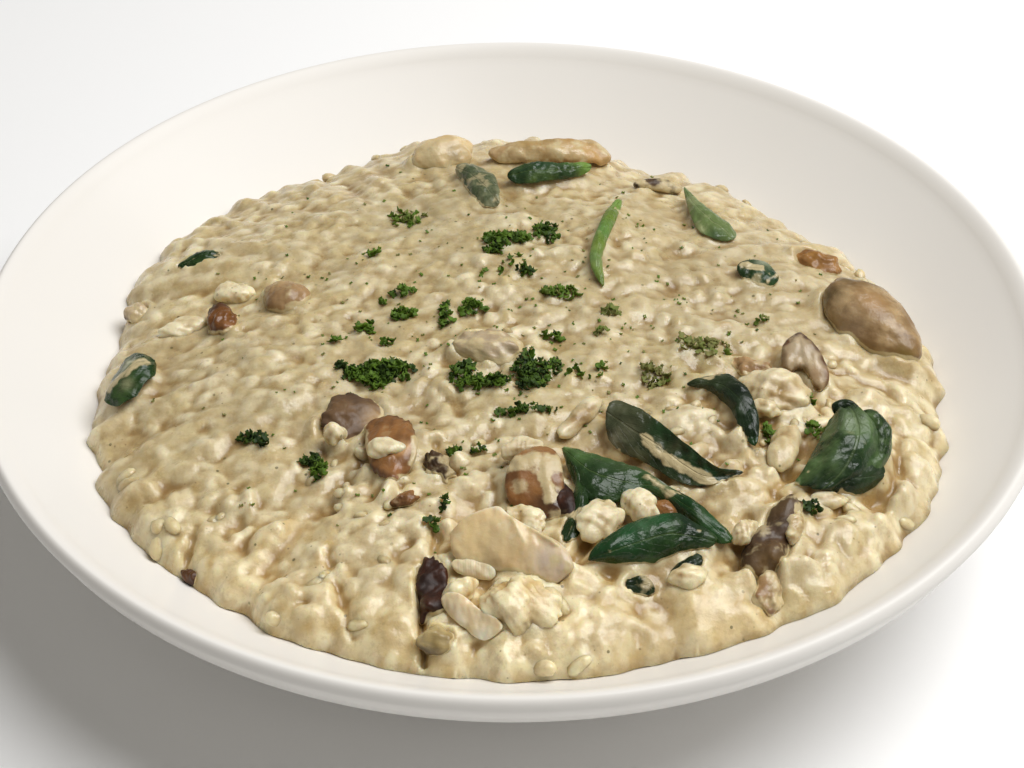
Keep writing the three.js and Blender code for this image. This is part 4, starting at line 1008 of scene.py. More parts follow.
creamLook = {
    "mottle": ((4.5, 5, 0.7), 0.4, 0.6), "sauce": (paint(168, 143, 94), paint(203, 183, 137)),
    "kernel": (paint(211, 194, 148), paint(239, 228, 193)), "kernelShare": 0.95,
    "warm": (paint(222, 190, 124), paint(252, 238, 196)), "warmAndLitShare": 0.75,
    "greyShare": 0.4, "grey": paint(172, 158, 128), "greenShare": 0.35, "green": paint(136, 132, 84),
    "stains": [  # (blobs, from, to, most, colour)
        ((6, 4, 0.6), 0.5, 0.68, 0.35, paint(172, 142, 92)),
        ((1.7, 4, 0.7), 0.48, 0.68, 0.26, paint(166, 140, 94)),
        ((18, 3, 0.6), 0.46, 0.62, 0.3, paint(176, 158, 122)),
    ],
    # the dips' colour, multiplied in: pooled sauce and painted shade
    "hollow": paint(198, 172, 128), "hollowSauceAndShadeShare": 0.8,
    "flecks": [  # of herb and mushroom: (spacing, radius, edge, share, colour)
        (4.6, 0.42, 0.03, 0.75, paint(84, 80, 38)), (2.7, 0.27, 0.04, 0.55, paint(116, 86, 46)),
    ],
    "drifts": ((14, 2), 0.42, 0.6, 0.2, 1.0),  # the flecks lie in these
    "relief": [(2.2, 3, 0.2), (0.7, 2, 0.06)],
    "roughness": ((5, 3), 0.34, 0.55, 0.24, 0.46),
    "shader": {
        "Specular IOR Level": 0.42, "Subsurface Weight": 0.6, "Subsurface Radius": (1.0, 0.7, 0.35),
        "Subsurface Scale": 0.0026, "Coat Weight": 0.34, "Coat Roughness": 0.1,
    },
}


def creamColour(material, grain, tone, hollow, warm, grey, green):
    look = creamLook
    sauce = mixed(material, blotchy(material, *look["mottle"]), *look["sauce"])
    kernel = mixed(material, between(material, tone, 0.2, 0.8), *look["kernel"])
    colour = mixed(material, times(material, grain, look["kernelShare"]), sauce, kernel)
    yellowAndLit = mixed(material, grain, *look["warm"])
    # more yellow sauce plus painted light, lighter mostly towards the front
    colour = mixed(material, times(material, warm, look["warmAndLitShare"]), colour, yellowAndLit)
    colour = mixed(material, times(material, grey, look["greyShare"]), colour, look["grey"])
    colour = mixed(material, times(material, green, look["greenShare"]), colour, look["green"])
    for blobs, low, high, most, stain in look["stains"]:
        colour = mixed(material, blotchy(material, blobs, low, high, 0, most), colour, stain)
    # painted shade with pooled sauce: darker and more yellow in the dips
    deep = between(material, hollow, 0.0, 1.0, 0, look["hollowSauceAndShadeShare"])
    return mixed(material, deep, colour, look["hollow"], "MULTIPLY")


def riceMaterial():
    material = newMaterial("creamyRice")
    names = ("grain", "tone", "hollow", "warm", "grey", "green")
    colour = creamColour(material, *[attribute(material, name) for name in names])
    near = blotchy(material, *creamLook["drifts"])
    for spacing, radius, edge, share, fleckColour in creamLook["flecks"]:
        flecks = times(material, speckled(material, spacing, radius, edge), near)
        colour = mixed(material, times(material, flecks, share), colour, fleckColour)
    surface = bumped(material, grownRelief(material, creamLook["relief"]))
    setShader(material, {
        **creamLook["shader"],
        "Base Color": colour,
        "Roughness": blotchy(material, *creamLook["roughness"]),
        "Normal": surface,
        "Coat Normal": surface,
    })
    return material


def writeTints(mesh, points):
    for name in tints:
        writeValues(mesh, name, tintAt(name, points[:, 0], points[:, 1]))


def boundaryEdges(items):
    return [item for item in items if isinstance(item, bmesh.types.BMEdge) and item.is_boundary]


def pullToShore(edges, share):  # moves the edges' points to this share of the shore's radius
    for vertex in {vertex for edge in edges for vertex in edge.verts}:
        angle = math.atan2(vertex.co.y, vertex.co.x)
        vertex.co *= share * float(shoreRadius(np.float64(angle))) / vertex.co.length


def makeRice(material):
    bm = bmesh.new()
    cells = rice["meshCells"]
    bmesh.ops.create_grid(bm, x_segments=cells, y_segments=cells, size=rice["reach"])
    spots = np.array([vertex.co for vertex in bm.verts])
    outside = shoreDistance(spots[:, 0], spots[:, 1]) < 0.25
    dropped = [vertex for vertex, gone in zip(bm.verts, outside) if gone]
    bmesh.ops.delete(bm, geom=dropped, context="VERTS")
    rim = boundaryEdges(bm.edges)
    pullToShore(rim, 1)
    topCount = len(bm.verts)
    for share in rice["undersideRings"]:  # the underside follows the bowl
        rim = boundaryEdges(bmesh.ops.extrude_edge_only(bm, edges=rim)["geom"])
        pullToShore(rim, share)
    bmesh.ops.contextual_create(bm, geom=rim)
    bmesh.ops.triangulate(bm, faces=[face for face in bm.faces if len(face.verts) > 4])
    mesh = asMesh(bm, "riceInCream")
    points = pointsOf(mesh)
    x, y = points[:, 0], points[:, 1]
    points[:topCount, 2] = surfaceHeight(x[:topCount], y[:topCount])
    points[topCount:, 2] = wallHeight(np.hypot(x[topCount:], y[topCount:])) + 0.1
    movePoints(mesh, points)
    for name in ("grain", "tone", "hollow"):
        writeValues(mesh, name, sampled(fields[name], x, y))
    writeTints(mesh, points)
    placePiece("riceInCream", mesh, material, ["risotto"])
    print("rice made with", len(mesh.polygons), "faces")


# many small things as one mesh

def joinCopies(name, shapes, copies):  # copies: (shape's index, place, turn matrix, scale, tone)
    points, faces, tones, count = [], [], [], 0
    for index, place, turn, scale, tone in copies:
        shapePoints, shapeFaces = shapes[index]
        points.append(shapePoints * scale @ turn.T + place)
        faces.append(shapeFaces + count)
        tones.append(np.full(len(shapePoints), tone))
        count += len(shapePoints)
    mesh = bpy.data.meshes.new(name)
    mesh.from_pydata(np.concatenate(points).tolist(), [], np.concatenate(faces).tolist())
    writeValues(mesh, "tone", np.concatenate(tones))
    return mesh


def shapeArrays(bm):  # a small shape's points and its triangles
    bmesh.ops.triangulate(bm, faces=bm.faces)
    bm.verts.index_update()
    points = np.array([vertex.co for vertex in bm.verts])
    faces = np.array([[vertex.index for vertex in face.verts] for face in bm.faces])
    bm.free()
    return points, faces


looseGrains = {
    "spacing": 3.7, "seed": 5, "shapeSeed": 2, "shapes": 8, "bend": (0.05, 0.2), "taper": (-0.2, 0.3),
    "blunt": 0.85, "bow": 0.4, "flatter": 0.1, "uneven": 0.13, "unevenSize": 2.4,
    "contact": (0.9, 0.45),  # how much less it shows where it meets the cream, and its painted shade there
    "sink": (0.62, 0.98),  # share of its height that lies in the cream
    "reach": 0.95, "crowd": 0.45, "bareCover": 0.5, "scale": (0.6, 1.0), "tilt": (60, 70),
    "atShore": {"step": 0.035, "share": 0.1, "wander": 0.02, "inland": (1.6, 4.0), "sunk": (0.7, 0.8),
                "scale": (0.7, 0.6), "tone": (0.2, 0.5), "tilt": (90, 30)},
}


def grainShapes():
    look = looseGrains
    draw = np.random.default_rng(look["shapeSeed"])
    shapes = []
    for _ in range(look["shapes"]):
        bm = bmesh.new()
        bmesh.ops.create_icosphere(bm, subdivisions=2, radius=0.5)
        points, faces = shapeArrays(bm)
        bend, taper = draw.uniform(*look["bend"]), draw.uniform(*look["taper"])
        blunt = np.sign(points[:, 0]) * np.abs(points[:, 0] * 2) ** look["blunt"] / 2
        side = points[:, 1] * (1 + taper * points[:, 0]) + bend * (4 * blunt ** 2 - 0.5) * look["bow"]
        high = points[:, 2] * (1 + look["flatter"] * draw.normal())
        shape = np.stack([blunt, side, high], 1) * rice["grains"]["size"]
        rough = unevenness(shape, draw.integers(999), look["unevenSize"])
        shape *= 1 + look["uneven"] * rough[:, None]
        shapes.append((shape, faces))
    return shapes


def grainsOnRice(draw):
    copies = []
    spacing = looseGrains["spacing"]
    low, high = looseGrains["sink"]
    smallest, largest = looseGrains["scale"]
    rollSpread, pitchSpread = looseGrains["tilt"]
    steps = np.arange(-rice["reach"], rice["reach"], spacing)
    for evenX, evenY in itertools.product(steps, steps):
        x, y = np.array([evenX, evenY]) + draw.uniform(-0.5, 0.5, 2) * spacing
        chance, yaw, roll, pitch, sink, size, tone, shape = draw.uniform(size=8)
        here = {name: float(sampled(fields[name], x, y)) for name in ("edges", "covered", "cover", "top")}
        outside = math.hypot(x, y) > float(shoreRadius(np.arctan2(y, x))) * looseGrains["reach"]
        bare = 1 - here["cover"] / looseGrains["bareCover"]
        crowd = bare * looseGrains["crowd"] * (1 - 0.5 * here["edges"])
        if outside or here["covered"] - here["edges"] > 0.25 or chance > crowd:
            continue
        scale = smallest + size * (largest - smallest)
        lift = rice["grains"]["size"][2] * scale * (0.5 - (low + (high - low) * sink))
        ground = max(float(surfaceHeight(x, y)), here["top"])
        turn = turned((roll - 0.5) * rollSpread, (pitch - 0.5) * pitchSpread, yaw * 360)
        place = np.array([x, y, ground + lift])
        copies.append((int(shape * looseGrains["shapes"]), place, turn, scale, tone))
    return copies


def grainsAtShore(draw):
    copies = []
    look = looseGrains["atShore"]
    for even in np.arange(0, 2 * np.pi, look["step"]):
        skip, wander, inland, yaw, roll, size, tone, shape = draw.uniform(size=8)
        if skip > look["share"]:
            continue
        angle = even + (wander - 0.5) * look["wander"]
        radius = float(shoreRadius(np.float64(angle))) - look["inland"][0] - look["inland"][1] * inland
        x, y = radius * math.cos(angle), radius * math.sin(angle)
        place = np.array([x, y, float(surfaceHeight(x, y)) - look["sunk"][0] - look["sunk"][1] * size])
        turn = turned((roll - 0.5) * look["tilt"][0], look["tilt"][1], yaw * 360)
        scale, shade = look["scale"][0] + look["scale"][1] * size, look["tone"][0] + look["tone"][1] * tone
        copies.append((int(shape * looseGrains["shapes"]), place, turn, scale, shade))
    return copies


def makeGrains(material):
    draw = np.random.default_rng(looseGrains["seed"])
    copies = grainsOnRice(draw) + grainsAtShore(draw)
    mesh = joinCopies("paleGrains", grainShapes(), copies)
    points = pointsOf(mesh)
    touching = contactSauce(points)
    fainter, contactShade = looseGrains["contact"]
    writeValues(mesh, "grain", 1 - fainter * touching)
    writeValues(mesh, "hollow", contactShade * touching)
    writeTints(mesh, points)
    placePiece("paleGrains", mesh, material)
    print("loose grains:", len(copies))


# mushrooms

# A look's edge colour is painted shade on a cap's sides and underside and the skin along a slice's edges;
# on clear slices it is painted light along the thin edges.
mushroomLooks = {  # (light, dark, edge, skin, material slot)
    "skin": (paint(188, 160, 118), paint(138, 108, 68), paint(92, 66, 32), "plain", "brown_mushroom"),
    "flesh": (paint(232, 208, 160), paint(208, 180, 130), paint(156, 124, 76), "plain", "pale_mushroom"),
    "amber": (paint(172, 126, 66), paint(134, 92, 46), paint(102, 66, 32), "plain", "brown_mushroom"),
    "golden": (paint(206, 182, 136), paint(172, 142, 94), paint(136, 100, 56), "plain", "brown_mushroom"),
    "grey": (paint(200, 180, 146), paint(160, 138, 104), paint(88, 56, 30), "plain", "pale_mushroom"),
    "rosy": (paint(182, 148, 106), paint(138, 105, 69), paint(110, 80, 50), "plain", "pale_mushroom"),
    "olive": (paint(196, 176, 124), paint(150, 128, 80), paint(70, 52, 32), "plain", "brown_mushroom"),
    "russet": (paint(122, 78, 38), paint(72, 42, 20), paint(50, 28, 14), "plain", "brown_mushroom"),
    "mauve": (paint(110, 84, 58), paint(84, 62, 42), paint(70, 48, 32), "dull", "brown_mushroom"),
    "orange": (paint(154, 108, 60), paint(112, 75, 40), paint(72, 46, 28), "plain", "brown_mushroom"),
    "dark": (paint(72, 36, 18), paint(36, 18, 10), paint(24, 13, 9), "dull", "brown_mushroom"),
    "taupe": (paint(86, 63, 38), paint(54, 38, 24), paint(42, 28, 18), "dull", "brown_mushroom"),
    # clear: its light edge colour is painted light along the thin edges
    "clear": (paint(236, 214, 168), paint(218, 193, 148), paint(246, 237, 214), "clear", "pale_mushroom"),
}
mushroomSkins = {  # relief of the fibres and of the skin in millimetres; glow is the subsurface weight
    "plain": {"fibres": 0.14, "relief": (0.06, 0.3), "roughness": (0.26, 0.42), "glow": 0.2, "coat": 0.2},
    "clear": {"fibres": 0.03, "relief": (0.0, 0.16), "roughness": (0.26, 0.42), "glow": 0.5, "coat": 0.2},
    "dull": {"fibres": 0.14, "relief": (0.06, 0.3), "roughness": (0.4, 0.6), "glow": 0.2, "coat": 0.05},
}
filmLook = {  # drift wobbles the edge of the cream round a foot; smears grow with a piece's film
    "colour": paint(208, 190, 146), "onMushroom": 0.88, "onLeaf": 0.85,
    "drift": (2.2, 3), "driftShare": 0.9, "contact": (0.8, 1.05),
    "smears": (4, 3), "smearsFrom": (0.66, 0.4), "smearsTo": (0.74, 0.25),
}
mushroomSurface = {
    "mottle": ((6, 3), 0.35, 0.65), "spots": ((2.4, 3), 0.58, 0.72, 0, 0.35), "rim": (0.5, 1.0, 0, 0.85),
    "fibres": {"Scale": 1.6, "Detail": 2.0}, "stretch": (1.5, 9, 1), "fibreSpan": (0.42, 0.75),
    "relief": (2.2, 4),
    "shader": {
        "Subsurface Radius": (1.0, 0.6, 0.3), "Subsurface Scale": 0.0015, "Specular IOR Level": 0.35,
        "Coat Roughness": 0.12,
    },
}


def coveredColour(material, colour, film, strength):  # cream over a piece's own colour
    wobble, sauce = grown(material, *filmLook["drift"]), attribute(material, "sauce")
    drift = calc(material, "MULTIPLY_ADD", wobble, filmLook["driftShare"], sauce)
    contact = between(material, drift, *filmLook["contact"])
    span = [level - film * more for level, more in (filmLook["smearsFrom"], filmLook["smearsTo"])]
    smears = times(material, blotchy(material, filmLook["smears"], *span), min(1, film * 2))
    covered = times(material, calc(material, "MAXIMUM", contact, smears), strength)
    return mixed(material, covered, colour, filmLook["colour"])


def mushroomMaterial(name, topping):
    light, dark, edge, kind, _ = mushroomLooks[topping["look"]]
    skin = mushroomSkins[kind]
    surface = mushroomSurface
    material = newMaterial(name)
    mottle = blotchy(material, *surface["mottle"])
    place = addNode(material, "ShaderNodeTexCoord").outputs["UV"]
    stretched = addNode(material, "ShaderNodeMapping", {"Vector": place, "Scale": surface["stretch"]})
    fibreInputs = {"Vector": stretched.outputs[0], **surface["fibres"]}
    fibre = addNode(material, "ShaderNodeTexNoise", fibreInputs).outputs["Fac"]
    fibres = between(material, fibre, *surface["fibreSpan"])
    spots = blotchy(material, *surface["spots"])
    # rim: painted shade on caps, skin on slices, painted light on clear slices
    rim = between(material, attribute(material, "rim"), *surface["rim"])
    colour = mixed(material, mottle, light, dark)
    for share in (times(material, fibres, skin["fibres"]), spots, rim):
        colour = mixed(material, share, colour, edge)
    colour = patched(material, colour)
    fibreRelief, skinRelief = skin["relief"]
    ripples = (fibre, fibreRelief), (grown(material, *surface["relief"]), skinRelief)
    normal = bumped(material, ripples)
    setShader(material, {
        **surface["shader"],
        "Base Color": coveredColour(material, colour, topping.get("film", 0.0), filmLook["onMushroom"]),
        "Roughness": between(material, mottle, 0, 1, *skin["roughness"]),
        "Subsurface Weight": skin["glow"],
        "Coat Weight": skin["coat"],
        "Normal": normal,
        "Coat Normal": normal,
    })
    return material


def placeMushroom(name, mesh, topping, nodes):
    placePiece(pieceName(name), mesh, mushroomMaterial(pieceName(name), topping), nodes)


def setUv(mesh, spread):
    layer = mesh.uv_layers.new(name="along")
    corners = np.zeros(len(mesh.loops), np.int32)
    mesh.loops.foreach_get("vertex_index", corners)
    layer.data.foreach_set("uv", spread[corners].astype(np.float32).ravel())


def contactSauce(points, reach=0.8):  # 1 where a point touches the rice, 0 this far above it
    above = points[:, 2] - surfaceHeight(points[:, 0], points[:, 1])
    return np.clip(1 - above / reach, 0, 1)


def ballMesh(name):  # a fine sphere 1 mm across
    bm = bmesh.new()
    bmesh.ops.create_icosphere(bm, subdivisions=5, radius=0.5)
    return asMesh(bm, name)


def makeCap(name, cap, seed):
    look = {**capShape, **cap}
    mesh = ballMesh(name)
    ball = pointsOf(mesh)
    length, width, height = look["size"]
    rough = look["rough"]
    tall = np.where(ball[:, 2] > 0, look["top"], look["foot"])
    side = ball[:, 1] * (1 + look["bulge"] * ball[:, 0])
    body = np.stack([ball[:, 0] * length, side * width, ball[:, 2] * height * tall], 1)
    body *= 1 + rough * unevenness(body, seed, height)[:, None]
    body *= 1 + rough * look["fine"] * unevenness(body, seed + 60, height * look["fine"])[:, None]
    body = body @ turned(*look["turn"]).T
    x, y = look["at"]
    body += (x, y, float(heapHeight(x, y)) + look["lift"])
    movePoints(mesh, body)
    setUv(mesh, np.stack([ball[:, 0] + 0.5, np.arctan2(ball[:, 1], ball[:, 2] + 0.001) / np.pi], 1))
    # painted shade: the edge colour darkens the cap's sides and underside
    writeValues(mesh, "rim", np.clip(1 - (ball[:, 2] * 2 + 0.1), 0, 1))
    writeValues(mesh, "sauce", contactSauce(body, look["lapped"]))
    writePatches(mesh, body, name)
    placeMushroom(name, mesh, cap, [name] if name in mushroomCaps else [])


def filmOn(sheet, points):  # how much of the sheet's films each point gets
    film = np.zeros(len(points))
    for alongFrom, acrossFrom, alongTo, acrossTo, radius, amount in sheet.get("films", []):
        ends, _ = loft(sheet, np.array([alongFrom, alongTo]), np.array([acrossFrom, acrossTo]))
        run = ends[1] - ends[0]
        share = np.clip((points - ends[0]) @ run / (run @ run), 0, 1)
        away = np.linalg.norm(points - ends[0] - share[:, None] * run, axis=1)
        film = np.maximum(film, amount * np.exp(-(away / radius) ** 2 * sheetMesh["filmFade"]))
    return film


def sheetBody(name, sheet, seed, crumple):  # a closed sheet from a sphere, whose poles become the tips
    look = {**sheetMesh, **sheet}
    bm = bmesh.new()
    bmesh.ops.create_uvsphere(bm, u_segments=look["around"], v_segments=look["rings"], radius=1)
    mesh = asMesh(bm, name)
    ball = pointsOf(mesh)
    along = 1 - np.arccos(np.clip(ball[:, 2], -1, 1)) / np.pi
    ring = np.hypot(ball[:, 0], ball[:, 1])
    cosine, sine = [np.where(ring < 1e-4, 0, ball[:, axis] / np.maximum(ring, 1e-6)) for axis in (0, 1)]
    fromEnd = np.clip(np.minimum(along, 1 - along) / look["ends"], 0, 1)
    rounding = np.sqrt(1 - (1 - fromEnd) ** 2)
    lengthwise, sideways, size = look["raggedWaves"]
    tears = np.stack([along * lengthwise, cosine * sideways, sine * 0], 1)
    ragged = 1 + look["ragged"] * unevenness(tears, seed, size)
    bluntAcross, bluntAbove = look["blunt"]
    across = np.sign(cosine) * np.abs(cosine) ** bluntAcross * rounding * ragged
    above = np.sign(sine) * np.abs(sine) ** bluntAbove * look["thick"] / 2
    points, up = loft(sheet, along, across)
    film = filmOn(sheet, points) * (sine > -0.2)
    lay = above * rounding ** 0.5 + crumple(sheet, seed, points, across)
    points = points + up * (lay + film * look["filmRise"])[:, None]
    movePoints(mesh, points)
    setUv(mesh, np.stack([along, across / 2 + 0.5], 1))
    writeValues(mesh, "sauce", np.maximum(contactSauce(points), film))
    writePatches(mesh, points, name)
    return mesh, along, across


sliceShape = {"rough": 0.45, "roughSize": 5, "fine": 0.14, "fineSize": 1.8}


def sliceCrumple(sheet, seed, points, across):
    look = {**sliceShape, **sheet}
    rough = look["rough"] * unevenness(points, seed, look["roughSize"])
    return rough + look["fine"] * unevenness(points, seed + 9, look["fineSize"])


def makeSlice(name, sheet, seed):
    mesh, along, across = sheetBody(name, sheet, seed, sliceCrumple)
    # rim: the skin at the edges and far end; on clear slices, painted light there
    writeValues(mesh, "rim", np.maximum(np.abs(across) ** 4, np.clip((along - 0.9) / 0.1, 0, 1)))
    placeMushroom(name, mesh, sheet, [name])


# spinach

leafLooks = {  # (blade, blade's lighter patches, veins)
    "dark": (paint(26, 50, 16), paint(56, 84, 36), paint(96, 118, 62)),
    "deep": (paint(18, 34, 14), paint(38, 58, 26), paint(66, 86, 46)),
    "filmed": (paint(70, 82, 54), paint(122, 124, 92), paint(150, 150, 116)),
    "twoTone": (paint(38, 58, 26), paint(86, 108, 46), paint(116, 136, 66)),
    "bright": (paint(98, 122, 40), paint(130, 148, 62), paint(156, 168, 88)),
    "light": (paint(104, 122, 70), paint(160, 166, 118), paint(176, 180, 130)),
    "greyed": (paint(36, 46, 22), paint(80, 80, 52), paint(98, 96, 68)),
    "sheen": (paint(30, 52, 20), paint(84, 108, 60), paint(114, 132, 84)),
}
leafSurface = {
    "veins": (9.0, -7.0, 1.4),  # side veins along the leaf, how they slant, and how they wander
    "veinShare": 0.25, "veinRelief": 0.12, "wrinkles": [(2.2, 3, 0.35), (0.8, 2, 0.08)],
    "patchy": ((7, 4, 0.6), 0.42, 0.66), "roughness": (0.26, 0.42),
    "shader": {"Specular IOR Level": 0.34, "Coat Weight": 0.06, "Coat Roughness": 0.14},
}


def leafVeins(material):
    place = addNode(material, "ShaderNodeTexCoord").outputs["UV"]
    axes = addNode(material, "ShaderNodeSeparateXYZ", {0: place})
    count, slant, wander = leafSurface["veins"]
    offCentre = calc(material, "ABSOLUTE", calc(material, "SUBTRACT", axes.outputs["Y"], 0.5))
    onwards = times(material, axes.outputs["X"], count)
    sideways = calc(material, "MULTIPLY_ADD", offCentre, slant, onwards)
    wandering = calc(material, "MULTIPLY_ADD", grown(material, 5, 2), wander, sideways)
    sideVeins = between(material, calc(material, "PINGPONG", wandering, 0.5), 0.05, 0.0)
    midrib = between(material, offCentre, 0.03, 0.01)
    return calc(material, "MAXIMUM", midrib, times(material, sideVeins, 0.5))


def leafMaterial(name, sheet):
    blade, light, vein = leafLooks[sheet["look"]]
    material = newMaterial(name)
    veins = leafVeins(material)
    patchy = blotchy(material, *leafSurface["patchy"])
    colour = patched(material, mixed(material, patchy, blade, light))
    colour = mixed(material, times(material, veins, leafSurface["veinShare"]), colour, vein)
    puckers = times(material, veins, -1.0), leafSurface["veinRelief"]
    surface = bumped(material, [puckers, *grownRelief(material, leafSurface["wrinkles"])])
    setShader(material, {
        **leafSurface["shader"],
        "Base Color": coveredColour(material, colour, sheet.get("film", 0.0), filmLook["onLeaf"]),
        "Roughness": between(material, patchy, 0, 1, *leafSurface["roughness"]),
        "Normal": surface,
        "Coat Normal": surface,
    })
    return material


leafShape = {  # (size, height) of waves and folds; pleats: how many, how they wander and how broadly
    "waves": (7, 0.45), "folds": (4, 0.22), "groove": (0.1, -0.25), "pleats": (9, 2, 12),
}


def leafCrumple(sheet, seed, points, across):
    (waveSize, waves), (foldSize, folds) = leafShape["waves"], leafShape["folds"]
    width, depth = leafShape["groove"]
    count, wander, broad = leafShape["pleats"]
    creases = 1 - np.abs(unevenness(points, seed + 5, foldSize)) * 2
    pleats = sheet.get("pleats", 0) * np.sin(across * count + wander * unevenness(points, seed, broad))
    groove = depth * np.exp(-(across / width) ** 2)
    return waves * unevenness(points, seed, waveSize) + folds * creases + groove + pleats


def makeLeaf(name, sheet, seed):
    mesh, _, _ = sheetBody(name, sheet, seed, leafCrumple)
    nodes = [name] if name in spinachLeaves else []
    placePiece(pieceName(name), mesh, leafMaterial(pieceName(name), sheet), nodes)


def makeToppings():
    families = (allCaps, makeCap, 0), (mushroomSlices, makeSlice, 50), (allLeaves, makeLeaf, 100)
    for family, make, firstSeed in families:
        for seed, (name, topping) in enumerate(family.items(), firstSeed):
            make(name, topping, seed)
    print("toppings made")


# lumps of cream and stuck-together rice

creamLumps = {
    "creamBlobStem": {"at": (-25.7, -55.2), "lift": 4.4, "size": (7.2, 4.6, 3.6), "turn": (0, 0, 5)},
    "creamBlobCap": {"at": (-36.8, -47), "lift": 2.6, "size": (5, 4.4, 5), "turn": (0, 0, 60)},
    "creamBlobSlice": {"at": (2.4, -77.6), "lift": 5.2, "size": (11, 6, 4.5), "turn": (25, 0, -25)},
    "creamBlobMiddle": {"at": (2, -56), "lift": 5, "size": (9, 5, 4), "turn": (15, 0, 20)},
    "creamBlobForkA": {"at": (17.2, -75.2), "lift": 3.2, "size": (10, 8, 4.6), "turn": (20, 0, 50)},
    "creamBlobForkB": {"at": (25, -71.8), "lift": 4, "size": (8.5, 6, 4.2), "turn": (20, 0, -50)},
    "creamBlobPearl": {"at": (-9.5, -90.6), "lift": 2.4, "size": (6.5, 4.5, 4), "turn": (30, 0, 20)},
    "creamBlobArch": {"at": (53, -40), "lift": 3.4, "size": (6, 5, 4), "turn": (0, 0, -30)},
    "creamBlobFold": {"at": (63.5, -64.6), "lift": 1.6, "size": (9, 4, 3.2), "turn": (0, 0, 12)},
    "creamBlobLow": {"at": (33.5, -86.5), "lift": 2, "size": (8, 5, 4), "turn": (0, 0, 15)},
    "creamBlobChunk": {"at": (55.5, -74.5), "lift": 2.8, "size": (9, 4, 4), "turn": (0, 0, 70)},
    "creamBlobTip": {"at": (45.5, -75.5), "lift": 2.6, "size": (7, 4.4, 4), "turn": (0, 0, 60)},
    "creamBlobFront": {"at": (0.8, -95), "lift": 2.4, "size": (15, 12, 7), "turn": (15, 0, -10),
        "tone": 0.6},
    "creamBlobLeft": {"at": (-64.6, 10.5), "lift": 1.2, "size": (9, 6.5, 4), "turn": (0, 0, -25),
        "tone": 1},
    "creamBlobShore": {"at": (-75.5, 0.5), "lift": 1, "size": (12, 6, 3.6), "turn": (0, 0, 30),
        "tone": 1},
    "creamBlobRight": {"at": (55.8, -34.6), "lift": 3, "size": (15, 12, 8.4), "turn": (10, 0, -20),
        "tone": 0.7, "fine": 0.04},
    "creamBlobArc": {"at": (14.2, -42), "lift": 1.6, "size": (14, 4.8, 4), "turn": (0, 0, 55), "tone": 1,
        "fine": 0.05},
    "creamBlobSlab": {"at": (56, -50), "lift": 1.6, "size": (14, 6.4, 5), "turn": (0, 0, 72),
        "tone": 0.4, "fine": 0.06},
}
lumpShape = {  # grain: its usual level, and what fine and broad bumps add; painted shade with pooled sauce: contact, dips, fine dips
    "broad": 0.26, "fine": 0.12, "fineSize": 3.0, "tone": 0.85,
    "grain": (0.75, 0.6, 0.4), "hollow": (0.3, 0.5, 0.5),
}


def makeLumps(material):
    for seed, (name, lump) in enumerate(creamLumps.items()):
        look = {**lumpShape, **lump}
        mesh = ballMesh(name)
        body = pointsOf(mesh) * look["size"]
        broad = unevenness(body, seed + 300, look["size"][0] * 0.5)
        fine = unevenness(body, seed + 400, look["fineSize"])
        body *= 1 + (look["broad"] * broad + look["fine"] * fine)[:, None]
        x, y = look["at"]
        body = body @ turned(*look["turn"]).T + (x, y, float(heapHeight(x, y)) + look["lift"])
        movePoints(mesh, body)
        usual, fineShare, broadShare = look["grain"]
        contact, dips, fineDips = look["hollow"]
        sunk = np.minimum(broad + fine * fineDips, 0)
        writeValues(mesh, "grain", np.clip(usual + fineShare * fine + broadShare * broad, 0.1, 1))
        writeValues(mesh, "tone", look["tone"])
        writeValues(mesh, "hollow", contact * contactSauce(body) - dips * sunk)
        writeTints(mesh, body)
        placePiece(name, mesh, material)
    print("lumps made")


# parsley

parsley = {
    "seed": 8, "shapeSeed": 4, "shapes": 7, "size": (1.7, 1.3), "thickness": 0.16,
    "lobes": (1.2, 2.4), "curl": (0.3, 1.1), "twist": (-0.8, 0.8), "uneven": 0.12,
    "waist": 0.35, "cupped": (0.5, 1.6),  # narrowest width between lobes; curl across and along
    "crowded": 6, "inwards": 0.6, "piled": (1.5, 0.7),  # a sprinkle is higher and denser in its middle
    "height": 1.7, "lift": 0.25, "tilt": (60, 50), "scale": (0.6, 1.3), "toneSpread": 0.13,
    "strays": {"count": 420, "middle": (4, -10), "spread": (36, 32), "reach": 84, "lift": 0.05,
               "tilt": (20, 20), "scale": (0.25, 0.6), "tone": (0.2, 1)},
}
